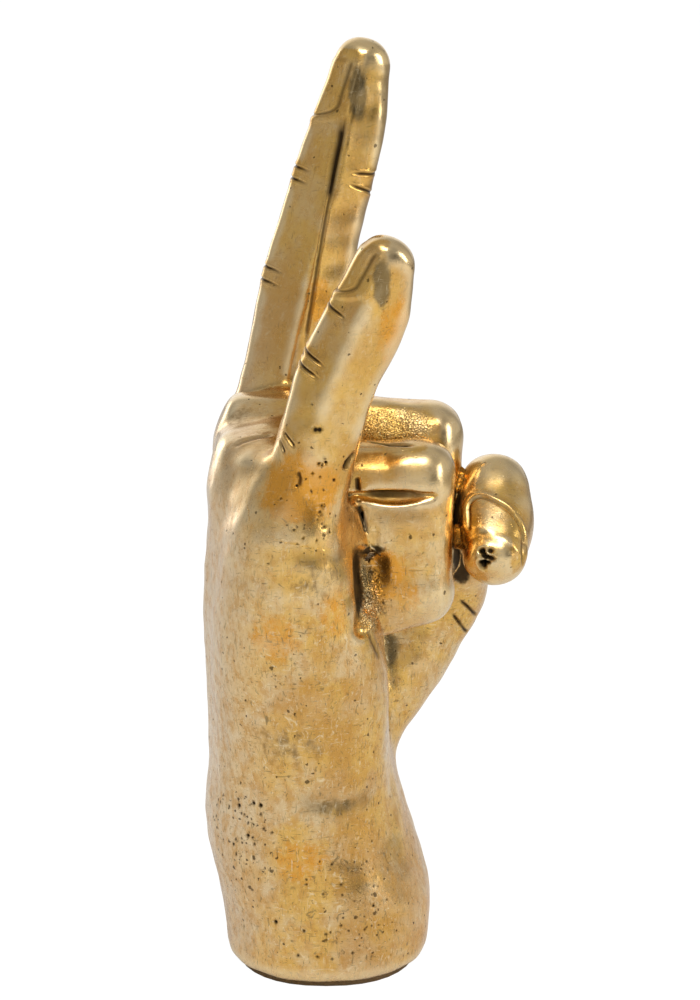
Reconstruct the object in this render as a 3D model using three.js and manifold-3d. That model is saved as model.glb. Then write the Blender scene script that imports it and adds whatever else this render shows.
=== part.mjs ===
// A right hand making the horns sign, cast in brass as a free-standing ornament.
// The wrist, palm and knuckles are one hollow casting. Each digit is a casting of its own, located on the
// palm by a dowel and brazed along a flat seam. A screwed plate closes the wrist, and felt covers the plate.
//
// Millimetres. +Z is up, +X points out of the palm and +Y to the thumb's side of the hand. The origin is
// the middle of the felt's underside. Heights in the sizes below count from the casting's foot, on the felt.

import * as THREE from "three";
import { mergeVertices } from "three/addons/utils/BufferGeometryUtils.js";
import Module from "manifold-3d";

const wasm = await Module();
wasm.setup();

// Fits and facets
const FIT_GAP = 0.3; // braze film, thread and glue clearance between two pieces
const DIGIT_SIDES = 18;
const DIGIT_SQUARE = 2.25; // superellipse power of a digit's section
const PALM_SIDES = 36;
const CAP_RINGS = 3;
const CAP_TILT = 80; // degrees round a digit's end at its last ring
const PIN_SIDES = 16;
const SLIVER = 0.01; // edges shorter than this are closed up after the cuts

// Main sizes of the hand. The sections, pads, knuckles and joints below take their places from these.
const PALM_HEIGHT = 141; // from the casting's foot to the top of the palm
const KNUCKLE_PITCH = 19.8; // between two neighbouring knuckles, across the hand
const PALM_EDGE = 1; // flesh outside the four pitches that the fingers share
const PALM_HALF = 2 * KNUCKLE_PITCH + PALM_EDGE;
const WRIST_DEPTH = 58.8; // from palm to back at the wrist's swelling
const FIST_DEPTH = 43.5; // from the knuckles to the front of the fist's bones

// Wrist and palm: level sections from the base to the knuckles. at is the height as a share of the palm's,
// x and y the middle, thin how much less deep a half is than the wrist's swelling, narrow how much less wide
// it is than the palm, and square the superellipse power.
const WRIST_SECTIONS = [
  { at: 0, x: -0.5, y: 0, thin: 2, narrow: 7, square: 2.3 },
  { at: 0.028, x: -0.1, y: 0, thin: 1.4, narrow: 6, square: 2.3 },
  { at: 0.08, x: 0.1, y: 0, thin: 0.6, narrow: 5.6, square: 2.3 },
  { at: 0.15, x: -1.4, y: 0, thin: 0, narrow: 6, square: 2.3 },
  { at: 0.22, x: -4.6, y: 0, thin: 0.7, narrow: 7, square: 2.3 },
  { at: 0.29, x: -6.6, y: 0, thin: 1.4, narrow: 7.8, square: 2.3 },
  { at: 0.383, x: -7.6, y: 0, thin: 4.4, narrow: 7.6, square: 2.4 },
  { at: 0.49, x: -9.4, y: 0, thin: 6.8, narrow: 5.6, square: 2.5 },
  { at: 0.61, x: -10.4, y: 0, thin: 7.2, narrow: 2.4, square: 2.5 },
  { at: 0.71, x: -12, y: 0, thin: 8.6, narrow: 0.4, square: 2.5 },
  { at: 0.81, x: -11.4, y: 0, thin: 9.4, narrow: 0, square: 2.5 },
  { at: 0.894, x: -11.6, y: 0.5, thin: 10.6, narrow: 0.8, square: 2.5 },
  { at: 0.957, x: -12.8, y: 1.5, thin: 12.6, narrow: 3.6, square: 2.5 },
  { at: 1, x: -15.2, y: 3, thin: 16.4, narrow: 9.1, square: 2.5 },
].map(({ at, thin, narrow, ...middle }) => ({
  ...middle,
  z: at * PALM_HEIGHT,
  depth: WRIST_DEPTH / 2 - thin,
  width: PALM_HALF - narrow,
}));

// Fleshy pads of the palm: each runs from heel to head, with a section at each end and in the middle.
const PAD_HEIGHT = 48.5; // where both pads start above the foot
const HEEL_OF_HAND = {
  from: new THREE.Vector3(-3, -0.7 * KNUCKLE_PITCH, PAD_HEIGHT),
  to: new THREE.Vector3(-4.5, -1.2 * KNUCKLE_PITCH, PALM_HEIGHT - 30.5),
  sections: [
    { dorsal: 16, palmar: 14.5, half: 16 },
    { dorsal: 20, palmar: 20, half: 16.5 },
    { dorsal: 16, palmar: 11.8, half: 15.5 },
  ],
};
const THUMB_KNUCKLE = new THREE.Vector3(FIST_DEPTH - 11.5, 1.3 * KNUCKLE_PITCH, PALM_HEIGHT - 46.5);
const BALL_OF_THUMB = {
  from: new THREE.Vector3(0.5, KNUCKLE_PITCH, PAD_HEIGHT),
  to: THUMB_KNUCKLE,
  sections: [
    { dorsal: 13, palmar: 10.5, half: 14 },
    { dorsal: 25, palmar: 14, half: 14 },
    { dorsal: 12.5, palmar: 10.5, half: 10.4 },
  ],
};

// Metacarpals: the ridges on the back of the hand. Each runs from the wrist to a point below and behind its
// knuckle, and start is where it leaves the wrist.
const METACARPAL_HEIGHT = 62; // where they start above the foot
const METACARPAL_DROP = 6.5; // how far they end below a knuckle
const METACARPAL_SET = 2; // how far they end behind a knuckle

// Fingers: bends are degrees of flexion at the knuckle, middle and end joint, measured from upright.
// Sections stand at the knuckle, between the joints, at each joint and at the tip's round end. root is the
// length inside the palm, knuckleEnd its rounding there, and seam where the digit is brazed on, counted from
// the knuckle. A nail starts at a distance from the end joint. start is the foot of the finger's metacarpal.
const INDEX_FINGER = {
  name: "index_finger",
  knuckle: new THREE.Vector3(-13.5, 1.5 * KNUCKLE_PITCH, PALM_HEIGHT + 3.5),
  start: new THREE.Vector3(-14, 0.8 * KNUCKLE_PITCH, METACARPAL_HEIGHT),
  metacarpal: [
    { dorsal: 12.5, palmar: 10, half: 8.5 },
    { dorsal: 13.2, palmar: 10, half: 9 },
    { dorsal: 11, palmar: 10, half: 9.5 },
  ],
  splay: 4,
  root: 26,
  knuckleEnd: 10,
  seam: 8,
  lengths: [38, 29, 32],
  bends: [12.5, 2, -1],
  sections: [
    { dorsal: 13.2, palmar: 12.5, half: 11.5 },
    { dorsal: 13, palmar: 11.8, half: 10.8 },
    { dorsal: 13.2, palmar: 11.2, half: 11 },
    { dorsal: 12.4, palmar: 10.6, half: 10.2 },
    { dorsal: 12, palmar: 10.2, half: 10 },
    { dorsal: 10.4, palmar: 10.6, half: 9.6 },
    { dorsal: 7.6, palmar: 7.2, half: 7.8 },
  ],
  nail: { start: 16, length: 17, half: 6.6 },
};
const MIDDLE_FINGER = {
  name: "middle_finger",
  knuckle: new THREE.Vector3(-17.5, 0.5 * KNUCKLE_PITCH, PALM_HEIGHT + 1.5),
  start: new THREE.Vector3(-15, 0.25 * KNUCKLE_PITCH, METACARPAL_HEIGHT),
  metacarpal: [
    { dorsal: 13, palmar: 10, half: 8.5 },
    { dorsal: 14.2, palmar: 10, half: 9 },
    { dorsal: 10.4, palmar: 10, half: 9.5 },
  ],
  splay: 0,
  root: 6,
  knuckleEnd: 5.5,
  seam: 16,
  lengths: [FIST_DEPTH, 28.5, 15],
  bends: [92, 87, 84],
  sections: [
    { dorsal: 11.2, palmar: 11, half: 10.8 },
    { dorsal: 12, palmar: 10.4, half: 10.4 },
    { dorsal: 10.6, palmar: 9.6, half: 10.6 },
    { dorsal: 10.2, palmar: 12.5, half: 10.3 },
    { dorsal: 9.8, palmar: 9.4, half: 10 },
    { dorsal: 9, palmar: 9.4, half: 9.4 },
    { dorsal: 7.2, palmar: 7.6, half: 7.8 },
  ],
};
const RING_FINGER = {
  name: "ring_finger",
  knuckle: new THREE.Vector3(-18, -0.5 * KNUCKLE_PITCH, PALM_HEIGHT - 5.7),
  start: new THREE.Vector3(-14.5, -0.3 * KNUCKLE_PITCH, METACARPAL_HEIGHT),
  metacarpal: [
    { dorsal: 13, palmar: 10, half: 8.5 },
    { dorsal: 13.8, palmar: 10, half: 9 },
    { dorsal: 10.6, palmar: 10, half: 9.5 },
  ],
  splay: 0,
  root: 6,
  knuckleEnd: 6,
  seam: 16,
  lengths: [FIST_DEPTH - 2, 29.5, 14],
  bends: [91, 89, 65],
  sections: [
    { dorsal: 11, palmar: 11, half: 10.6 },
    { dorsal: 10.4, palmar: 10.2, half: 10.2 },
    { dorsal: 10, palmar: 10.4, half: 10.4 },
    { dorsal: 10, palmar: 12.5, half: 10.1 },
    { dorsal: 10, palmar: 9.4, half: 9.8 },
    { dorsal: 9.4, palmar: 9.4, half: 9.2 },
    { dorsal: 7.4, palmar: 7.6, half: 7.6 },
  ],
};
const LITTLE_FINGER = {
  name: "little_finger",
  knuckle: new THREE.Vector3(-7, -1.5 * KNUCKLE_PITCH, PALM_HEIGHT - 9.5),
  start: new THREE.Vector3(-12, -0.8 * KNUCKLE_PITCH, METACARPAL_HEIGHT),
  metacarpal: [
    { dorsal: 12, palmar: 10, half: 9.5 },
    { dorsal: 12.2, palmar: 10, half: 10.5 },
    { dorsal: 10, palmar: 10, half: 11 },
  ],
  splay: -5,
  root: 16,
  knuckleEnd: 11,
  seam: -6,
  lengths: [36, 19, 13.8],
  bends: [15, 8.5, -6],
  sections: [
    { dorsal: 11, palmar: 11, half: 10 },
    { dorsal: 10.8, palmar: 10.8, half: 9.6 },
    { dorsal: 10.6, palmar: 10.4, half: 9.6 },
    { dorsal: 10.2, palmar: 11.2, half: 9.2 },
    { dorsal: 9.6, palmar: 11.6, half: 9 },
    { dorsal: 8.4, palmar: 11, half: 8.4 },
    { dorsal: 6.2, palmar: 8.2, half: 6.8 },
  ],
  nail: { start: 4, length: 13.5, half: 5.4 },
};

// Thumb: bent hard at its end joint, so that its tip turns down with the nail to the little finger's side.
const THUMB = {
  name: "thumb",
  joints: [
    THUMB_KNUCKLE,
    new THREE.Vector3(FIST_DEPTH + 1.8, 0.33 * KNUCKLE_PITCH, PALM_HEIGHT - 14.3),
    new THREE.Vector3(FIST_DEPTH + 1.5, -0.43 * KNUCKLE_PITCH, PALM_HEIGHT - 27),
  ],
  side: new THREE.Vector3(1, 0, 0),
  root: 0,
  knuckleEnd: 11.5,
  seam: 2,
  sections: [
    { dorsal: 12, palmar: 12, half: 9.6 },
    { dorsal: 10.8, palmar: 10.8, half: 8.8 },
    { dorsal: 10.8, palmar: 10, half: 9.2 },
    { dorsal: 9.8, palmar: 9.8, half: 10.8 },
    { dorsal: 8.2, palmar: 8.6, half: 8.6 },
  ],
  nail: { start: 6.5, length: 14.5, half: 6.9 },
};
const NAIL_RISE = 0.5; // how far a nail stands above the finger's back
const NAIL_THICKNESS = 2.4;

// Locating dowels across the seams
const DOWEL_RADIUS = 2.5;
const DOWEL_LENGTH = 18;

// Hollow wrist and what closes it
const WALL = 6;
const HOLLOW_TOP = PALM_HEIGHT - 37;
const LEDGE = 2; // step in the wall that the base plate rests on
const RIM = WALL - LEDGE;
const PLATE_THICKNESS = 3;
const FELT_THICKNESS = 1.5;
const FELT_INSET = 2.5;
const SCREW_COUNT = 3;
const SCREW_RADIUS = 2;
const SCREW_HEAD_RADIUS = 4;
const SCREW_HEAD_HEIGHT = 2.2;
const SCREW_HEAD_EDGE = 0.3; // straight edge of the head under its cone
const SCREW_LENGTH = 14;
const SLOT_WIDTH = 1.1;
const SLOT_DEPTH = 1.2;
const SCREW_EDGE = 2; // plate left outside a screw head
const LUG_WALL = 3;
const LUG_RADIUS = SCREW_RADIUS + LUG_WALL;
const LUG_HEIGHT = 16;

const BRASS = new THREE.MeshStandardMaterial({ color: 0xb08d4c, roughness: 0.28, metalness: 1 });
const PLATE_BRASS = new THREE.MeshStandardMaterial({ color: 0xa98a50, roughness: 0.45, metalness: 1 });
const STEEL = new THREE.MeshStandardMaterial({ color: 0x9a9a98, roughness: 0.35, metalness: 1 });
const FELT = new THREE.MeshStandardMaterial({ color: 0x2c2a27, roughness: 0.95, metalness: 0 });

const UP = new THREE.Vector3(0, 0, 1);
const ACROSS = new THREE.Vector3(0, 1, 0);
const FAR = 400; // reach of a cutting half space, well past the part
const PAST = 1; // how far a cutter runs past an open face

// Solids and booleans

function solidOf(geometry, matrix = new THREE.Matrix4()) {
  const bare = geometry.clone().applyMatrix4(matrix);
  for (const name of Object.keys(bare.attributes)) {
    if (name !== "position") bare.deleteAttribute(name);
  }
  const merged = mergeVertices(bare, 1e-4);
  return new wasm.Manifold(
    new wasm.Mesh({
      numProp: 3,
      vertProperties: merged.attributes.position.array,
      triVerts: new Uint32Array(merged.index.array),
    }),
  );
}

function geometryOf(solid) {
  const { vertProperties, triVerts } = solid.simplify(SLIVER).getMesh();
  const geometry = new THREE.BufferGeometry();
  geometry.setAttribute("position", new THREE.BufferAttribute(vertProperties, 3));
  geometry.setIndex(new THREE.BufferAttribute(triVerts, 1));
  geometry.computeVertexNormals();
  return geometry;
}

function join(solids) {
  return solids.reduce((all, one) => all.add(one));
}

function cut(solid, tools) {
  return tools.reduce((left, tool) => left.subtract(tool), solid);
}

// Everything on the side of a plane that its normal points to.
function halfSpace(point, normal) {
  const middle = point.clone().addScaledVector(normal, FAR / 2);
  const turn = new THREE.Quaternion().setFromUnitVectors(UP, normal);
  const matrix = new THREE.Matrix4().compose(middle, turn, new THREE.Vector3(1, 1, 1));
  return solidOf(new THREE.BoxGeometry(FAR, FAR, FAR), matrix);
}

// Lofts

function superellipse(angle, power) {
  const bulge = (value) => Math.sign(value) * Math.abs(value) ** (2 / power);
  return { u: bulge(Math.cos(angle)), v: bulge(Math.sin(angle)) };
}

// A closed solid through rings of points that all turn the same way round the loft's direction.
function loft(rings) {
  const sides = rings[0].length;
  const middles = [rings[0], rings.at(-1)].map((ring) =>
    ring.reduce((sum, p) => sum.add(p), new THREE.Vector3()).divideScalar(sides),
  );
  const points = [...rings.flat(), ...middles];
  const firstMiddle = rings.length * sides;
  const lastRing = (rings.length - 1) * sides;
  const triangles = [];
  for (let j = 0; j < sides; j++) {
    const next = (j + 1) % sides;
    for (let i = 0; i < rings.length - 1; i++) {
      const [a, b] = [i * sides + j, i * sides + next];
      triangles.push(a, b, b + sides, a, b + sides, a + sides);
    }
    triangles.push(firstMiddle, next, j);
    triangles.push(firstMiddle + 1, lastRing + j, lastRing + next);
  }
  return new THREE.BufferGeometry().setFromPoints(points).setIndex(triangles);
}

// Values between keyed sections, eased so that the surface has no edge at a key.
function sectionAt(sections, share) {
  const place = share * (sections.length - 1);
  const i = Math.min(Math.floor(place), sections.length - 2);
  const t = THREE.MathUtils.smoothstep(place - i, 0, 1);
  const mixed = {};
  for (const key of Object.keys(sections[i])) {
    mixed[key] = THREE.MathUtils.lerp(sections[i][key], sections[i + 1][key], t);
  }
  return mixed;
}

// A tapered bar of flesh with round ends. The palm's side of its section is +u, the back of the hand -u.
function fleshBar(from, to, side, sections, { extra = 0, startReach } = {}) {
  const w = to.clone().sub(from).normalize();
  const v = side.clone().addScaledVector(w, -side.dot(w)).normalize();
  const u = v.clone().cross(w);
  const length = from.distanceTo(to);
  const ring = (along, section, scale) =>
    Array.from({ length: DIGIT_SIDES }, (_, j) => {
      const on = superellipse((2 * Math.PI * j) / DIGIT_SIDES, DIGIT_SQUARE);
      const deep = (on.u > 0 ? section.palmar : section.dorsal) + extra;
      return from
        .clone()
        .addScaledVector(w, along)
        .addScaledVector(u, on.u * deep * scale)
        .addScaledVector(v, on.v * (section.half + extra) * scale);
    });
  const fullReach = (section) => (section.dorsal + section.palmar) / 2;
  const roundEnd = (along, section, reach) =>
    Array.from({ length: CAP_RINGS }, (_, i) => {
      const angle = THREE.MathUtils.degToRad(((i + 1) / CAP_RINGS) * CAP_TILT);
      return ring(along + reach * Math.sin(angle), section, Math.cos(angle));
    });
  const steps = 2 * (sections.length - 1);
  const body = Array.from({ length: steps + 1 }, (_, i) =>
    ring((length * i) / steps, sectionAt(sections, i / steps), 1),
  );
  return solidOf(
    loft([
      ...roundEnd(0, sections[0], -(startReach ?? fullReach(sections[0])) - extra).reverse(),
      ...body,
      ...roundEnd(length, sections.at(-1), fullReach(sections.at(-1)) + extra),
    ]),
  );
}

// A loft through level sections of the wrist, each shrunk by an inset.
function wristLoft(sections, inset) {
  const rings = sections.map((s) =>
    Array.from({ length: PALM_SIDES }, (_, j) => {
      const on = superellipse((2 * Math.PI * j) / PALM_SIDES, s.square);
      return new THREE.Vector3(s.x + on.u * (s.depth - inset), s.y + on.v * (s.width - inset), s.z);
    }),
  );
  return loft(rings);
}

// A level plate in the outline of the wrist's foot, shrunk by an inset.
function footPlate(inset, bottom, top) {
  const foot = WRIST_SECTIONS[0];
  return wristLoft([{ ...foot, z: bottom }, { ...foot, z: top }], inset);
}

// The wrist's section at a height above the base.
function wristAt(z) {
  const i = Math.max(1, WRIST_SECTIONS.findIndex((s) => s.z >= z));
  const [below, above] = [WRIST_SECTIONS[i - 1], WRIST_SECTIONS[i]];
  const t = (z - below.z) / (above.z - below.z);
  const mixed = {};
  for (const key of Object.keys(below)) mixed[key] = THREE.MathUtils.lerp(below[key], above[key], t);
  return mixed;
}

// Digits

// A finger's joints, worked out from its knuckle, its bends and the lengths of its bones.
function fingerBones(finger) {
  const splay = new THREE.Quaternion().setFromAxisAngle(
    new THREE.Vector3(1, 0, 0),
    THREE.MathUtils.degToRad(-finger.splay),
  );
  const side = ACROSS.clone().applyQuaternion(splay);
  const joints = [finger.knuckle.clone()];
  let flexion = 0;
  finger.lengths.forEach((length, i) => {
    flexion += THREE.MathUtils.degToRad(finger.bends[i]);
    const way = new THREE.Vector3(Math.sin(flexion), 0, Math.cos(flexion)).applyQuaternion(splay);
    joints.push(joints[i].clone().addScaledVector(way, length));
  });
  return { ...finger, joints, side };
}

// The way that a digit leaves the palm, and the middle of the seam where it is brazed on.
function seamOf(digit) {
  const normal = digit.joints[1].clone().sub(digit.joints[0]).normalize();
  const point = digit.joints[0].clone().addScaledVector(normal, digit.seam);
  return { point, normal };
}

// The ridge that leads up the back of the hand to a finger's knuckle.
function metacarpalFlesh(finger) {
  const head = finger.knuckle.clone().sub(new THREE.Vector3(METACARPAL_SET, 0, METACARPAL_DROP));
  return fleshBar(finger.start, head, ACROSS, finger.metacarpal);
}

// A nail: a thin plate that follows the finger's back and stands a little above it.
function nailPlate(digit, extra) {
  const [from, to] = digit.joints.slice(-2);
  const w = to.clone().sub(from).normalize();
  const v = digit.side.clone().addScaledVector(w, -digit.side.dot(w)).normalize();
  const back = w.clone().cross(v);
  const sections = digit.sections.slice(-3);
  const length = from.distanceTo(to);
  const place = (along) => {
    const { dorsal } = sectionAt(sections, Math.min(along / length, 1));
    return from.clone().addScaledVector(w, along).addScaledVector(back, dorsal + NAIL_RISE - NAIL_THICKNESS);
  };
  const plate = { dorsal: NAIL_THICKNESS, palmar: NAIL_THICKNESS, half: digit.nail.half };
  const start = place(digit.nail.start);
  const end = place(digit.nail.start + digit.nail.length - 2 * NAIL_THICKNESS);
  return fleshBar(start, end, digit.side, [plate, plate], { extra });
}

// The whole digit, from inside the palm to its tip. extra swells it to cut its own seat.
function digitFlesh(digit, extra = 0) {
  const bones = digit.joints.slice(1).map((to, i) => {
    const sections = digit.sections.slice(2 * i, 2 * i + 3);
    if (i > 0) return fleshBar(digit.joints[i], to, digit.side, sections, { extra });
    const from = digit.joints[0].clone().addScaledVector(seamOf(digit).normal, -digit.root);
    return fleshBar(from, to, digit.side, sections, { extra, startReach: digit.knuckleEnd });
  });
  const nail = digit.nail ? [nailPlate(digit, extra)] : [];
  return join([...bones, ...nail]);
}

// The part of a digit that is its own casting, and the seat that it needs in its neighbours.
function digitCasting(digit) {
  const { point, normal } = seamOf(digit);
  const seatPoint = point.clone().addScaledVector(normal, -FIT_GAP);
  return {
    digit,
    casting: digitFlesh(digit).intersect(halfSpace(point, normal)),
    stump: digitFlesh(digit).subtract(halfSpace(point, normal)),
    seat: digitFlesh(digit, FIT_GAP).intersect(halfSpace(seatPoint, normal)),
  };
}

// A pin across the seam, standing half in the digit and half in the palm. extra swells it to cut its hole.
function dowelMesh(digit, extra = 0) {
  const { point, normal } = seamOf(digit);
  const geometry = new THREE.CylinderGeometry(
    DOWEL_RADIUS + extra,
    DOWEL_RADIUS + extra,
    DOWEL_LENGTH + 2 * extra,
    PIN_SIDES,
  );
  const mesh = new THREE.Mesh(geometry, BRASS);
  mesh.name = digit.name.replace("_finger", "") + "_dowel";
  mesh.position.copy(point);
  mesh.quaternion.setFromUnitVectors(ACROSS, normal);
  mesh.updateMatrixWorld();
  return mesh;
}

// Base

// Where the screws stand under the plate, each with the angle that points from the wrist's middle to it.
function screwPlaces() {
  const foot = WRIST_SECTIONS[0];
  const inset = RIM + SCREW_HEAD_RADIUS + SCREW_EDGE;
  return Array.from({ length: SCREW_COUNT }, (_, i) => {
    const turn = (2 * Math.PI * i) / SCREW_COUNT + Math.PI / 2;
    const x = (foot.depth - inset) * Math.cos(turn);
    const y = (foot.width - inset) * Math.sin(turn);
    return { point: new THREE.Vector3(foot.x + x, foot.y + y, 0), angle: Math.atan2(y, x) };
  });
}

// A lug inside the wrist that a screw bites into: a round post with a web that runs out to the wall.
function lugSolid({ point, angle }) {
  const post = new THREE.CylinderGeometry(LUG_RADIUS, LUG_RADIUS, LUG_HEIGHT, PIN_SIDES).rotateX(Math.PI / 2);
  const reach = WRIST_SECTIONS[0].width;
  const web = new THREE.BoxGeometry(reach, 2 * LUG_RADIUS, LUG_HEIGHT).translate(reach / 2, 0, 0);
  const place = at(point.clone().setZ(PLATE_THICKNESS + LUG_HEIGHT / 2));
  return solidOf(post, place).add(solidOf(web.rotateZ(angle), place));
}

// A countersunk screw standing on its head, turned about +Z. extra swells it to cut its hole.
function screwGeometry(extra = 0) {
  const profile = [
    new THREE.Vector2(0, -extra),
    new THREE.Vector2(SCREW_HEAD_RADIUS + extra, -extra),
    new THREE.Vector2(SCREW_HEAD_RADIUS + extra, SCREW_HEAD_EDGE),
    new THREE.Vector2(SCREW_RADIUS + extra, SCREW_HEAD_HEIGHT),
    new THREE.Vector2(SCREW_RADIUS + extra, SCREW_LENGTH + extra),
    new THREE.Vector2(0, SCREW_LENGTH + extra),
  ];
  return new THREE.LatheGeometry(profile, PIN_SIDES).rotateX(Math.PI / 2);
}

function at(point) {
  return new THREE.Matrix4().makeTranslation(point.x, point.y, point.z);
}

// Assembly

function named(name, solid, material) {
  const mesh = new THREE.Mesh(geometryOf(solid), material);
  mesh.name = name;
  return mesh;
}

const fingers = [INDEX_FINGER, MIDDLE_FINGER, RING_FINGER, LITTLE_FINGER].map(fingerBones);
const digits = [...fingers, THUMB].map(digitCasting);
const dowelHoles = digits.map(({ digit }) => {
  const wide = dowelMesh(digit, FIT_GAP);
  return solidOf(wide.geometry, wide.matrixWorld);
});

const hollowSections = WRIST_SECTIONS.filter((s) => s.z < HOLLOW_TOP);
const hollow = solidOf(wristLoft([...hollowSections, wristAt(HOLLOW_TOP)], WALL));
const plateSeat = solidOf(footPlate(RIM, -PAST, PLATE_THICKNESS + FIT_GAP));
const screws = screwPlaces();
const screwHoles = screws.map(({ point }) => solidOf(screwGeometry(FIT_GAP), at(point)));
const lugs = join(screws.map(lugSolid)).intersect(solidOf(wristLoft(WRIST_SECTIONS, WALL / 2)));

const outside = join([
  solidOf(wristLoft(WRIST_SECTIONS, 0)),
  fleshBar(HEEL_OF_HAND.from, HEEL_OF_HAND.to, ACROSS, HEEL_OF_HAND.sections),
  fleshBar(BALL_OF_THUMB.from, BALL_OF_THUMB.to, ACROSS, BALL_OF_THUMB.sections),
  ...fingers.map(metacarpalFlesh),
  ...digits.map((d) => d.stump),
]);
const seats = digits.map((d) => d.seat);
const shell = outside.subtract(hollow).add(lugs);
const handCasting = cut(shell, [...seats, ...dowelHoles, plateSeat, ...screwHoles]);

const hand = new THREE.Group();
hand.position.z = FELT_THICKNESS;
hand.add(named("hand_casting", handCasting, BRASS));
digits.forEach(({ digit, casting }, i) => {
  hand.add(named(digit.name, cut(casting, [...seats.slice(0, i), dowelHoles[i]]), BRASS));
  hand.add(dowelMesh(digit));
});
const plate = solidOf(footPlate(RIM + FIT_GAP, 0, PLATE_THICKNESS));
hand.add(named("base_plate", cut(plate, screwHoles), PLATE_BRASS));
const slot = solidOf(new THREE.BoxGeometry(FAR, SLOT_WIDTH, 2 * SLOT_DEPTH));
screws.forEach(({ point }, i) => {
  const screw = named(`base_screw_${i + 1}`, solidOf(screwGeometry()).subtract(slot), STEEL);
  screw.position.copy(point);
  hand.add(screw);
});

const sculpture = new THREE.Group();
sculpture.add(hand);
sculpture.add(named("felt_pad", solidOf(footPlate(FELT_INSET, 0, FELT_THICKNESS)), FELT));

export default sculpture;
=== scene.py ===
"""An aged brass hand making the horns sign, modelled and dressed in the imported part's frame.

The hand is worked in millimetres from the casting's foot, with the part's own axes: +X out of the palm,
+Y to the thumb's side and +Z up. Points are columns of three rows. Each finished mesh is set on the felt and
scaled to metres as its last step.
"""

from __future__ import annotations

import logging
import math
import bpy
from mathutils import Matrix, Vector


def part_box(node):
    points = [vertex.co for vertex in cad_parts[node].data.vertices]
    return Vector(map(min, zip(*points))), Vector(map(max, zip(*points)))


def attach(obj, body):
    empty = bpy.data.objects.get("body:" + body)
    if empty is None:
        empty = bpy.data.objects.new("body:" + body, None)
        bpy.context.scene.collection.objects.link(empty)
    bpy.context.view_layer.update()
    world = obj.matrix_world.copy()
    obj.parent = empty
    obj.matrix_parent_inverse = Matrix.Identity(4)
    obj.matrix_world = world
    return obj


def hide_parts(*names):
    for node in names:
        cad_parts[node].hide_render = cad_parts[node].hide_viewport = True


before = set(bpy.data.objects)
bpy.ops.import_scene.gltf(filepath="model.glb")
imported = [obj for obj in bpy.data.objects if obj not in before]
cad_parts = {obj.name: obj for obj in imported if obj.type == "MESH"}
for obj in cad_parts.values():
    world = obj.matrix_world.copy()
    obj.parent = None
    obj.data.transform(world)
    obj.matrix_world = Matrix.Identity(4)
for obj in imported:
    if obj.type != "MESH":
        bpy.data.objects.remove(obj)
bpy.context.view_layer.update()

from concurrent.futures import ThreadPoolExecutor
from contextlib import contextmanager
from dataclasses import dataclass
from enum import Enum
from functools import cached_property
from typing import Callable, Iterator, Sequence

import bmesh
import bpy
import numpy as np
from mathutils import Matrix, Vector

log = logging.getLogger("horns_hand")

MM = 0.001
THUMBWARD = (0.0, 1.0, 0.0)
FLESH_BLEND = 4.0
TINY = 1e-6
Triple = tuple[float, float, float]
Measure = Callable[[np.ndarray], np.ndarray]
Socket = bpy.types.NodeSocket


def unit(vector: Sequence[float]) -> np.ndarray:
    """Scales a vector that isn't zero to length one."""
    values = np.asarray(vector, np.float32)
    return values / np.linalg.norm(values)


def column(vector: Sequence[float]) -> np.ndarray:
    """Stands three values up so that they can be added to columns of points."""
    return np.asarray(vector, np.float32).reshape(3, 1)


def length_of(columns: np.ndarray) -> np.ndarray:
    """Measures vectors that stand as columns of three rows."""
    return np.sqrt(columns[0] * columns[0] + columns[1] * columns[1] + columns[2] * columns[2])


def soft_min(a: np.ndarray, b: np.ndarray, blend: np.ndarray | float) -> np.ndarray:
    """Joins the distances to two shapes with a rounded inner corner as wide as the blend."""
    near = np.maximum(blend - np.abs(a - b), 0.0)
    return np.minimum(a, b) - near * near / (4.0 * blend)


def soft_max(a: np.ndarray, b: np.ndarray, blend: np.ndarray | float) -> np.ndarray:
    """Keeps what two shapes share, with a rounded edge as wide as the blend."""
    return -soft_min(-a, -b, blend)


def smooth_step(low: float, high: float, value: np.ndarray) -> np.ndarray:
    """Eases values from 0 at low to 1 at high."""
    share = np.clip((value - low) / (high - low), 0.0, 1.0)
    return share * share * (3.0 - 2.0 * share)


@dataclass(frozen=True)
class Section:
    """Half sizes of a limb's cross-section: to its back, to its palm side and to either side."""

    dorsal: float
    palmar: float
    half: float


def sections(*triples: Triple) -> tuple[Section, ...]:
    """Reads cross-sections from plain triples of dorsal, palmar and half width."""
    return tuple(Section(*triple) for triple in triples)


def outline_distance(
    shares: Sequence[np.ndarray], offsets: Sequence[np.ndarray], power: float | np.ndarray
) -> np.ndarray:
    """Measures how far points are outside a rounded outline.

    Args:
        shares: Offsets from the outline's middle as shares of its half sizes.
        offsets: The same offsets in millimetres.
        power: Power of the outline; 2 is an ellipse and more is squarer.

    Returns:
        Distances, negative inside.
    """
    deep, across, over = shares
    ratio = np.abs(deep) ** power + np.abs(across) ** power + over ** power
    radius = length_of(offsets)
    return radius - radius / np.maximum(ratio, TINY) ** (1.0 / power)


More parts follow.
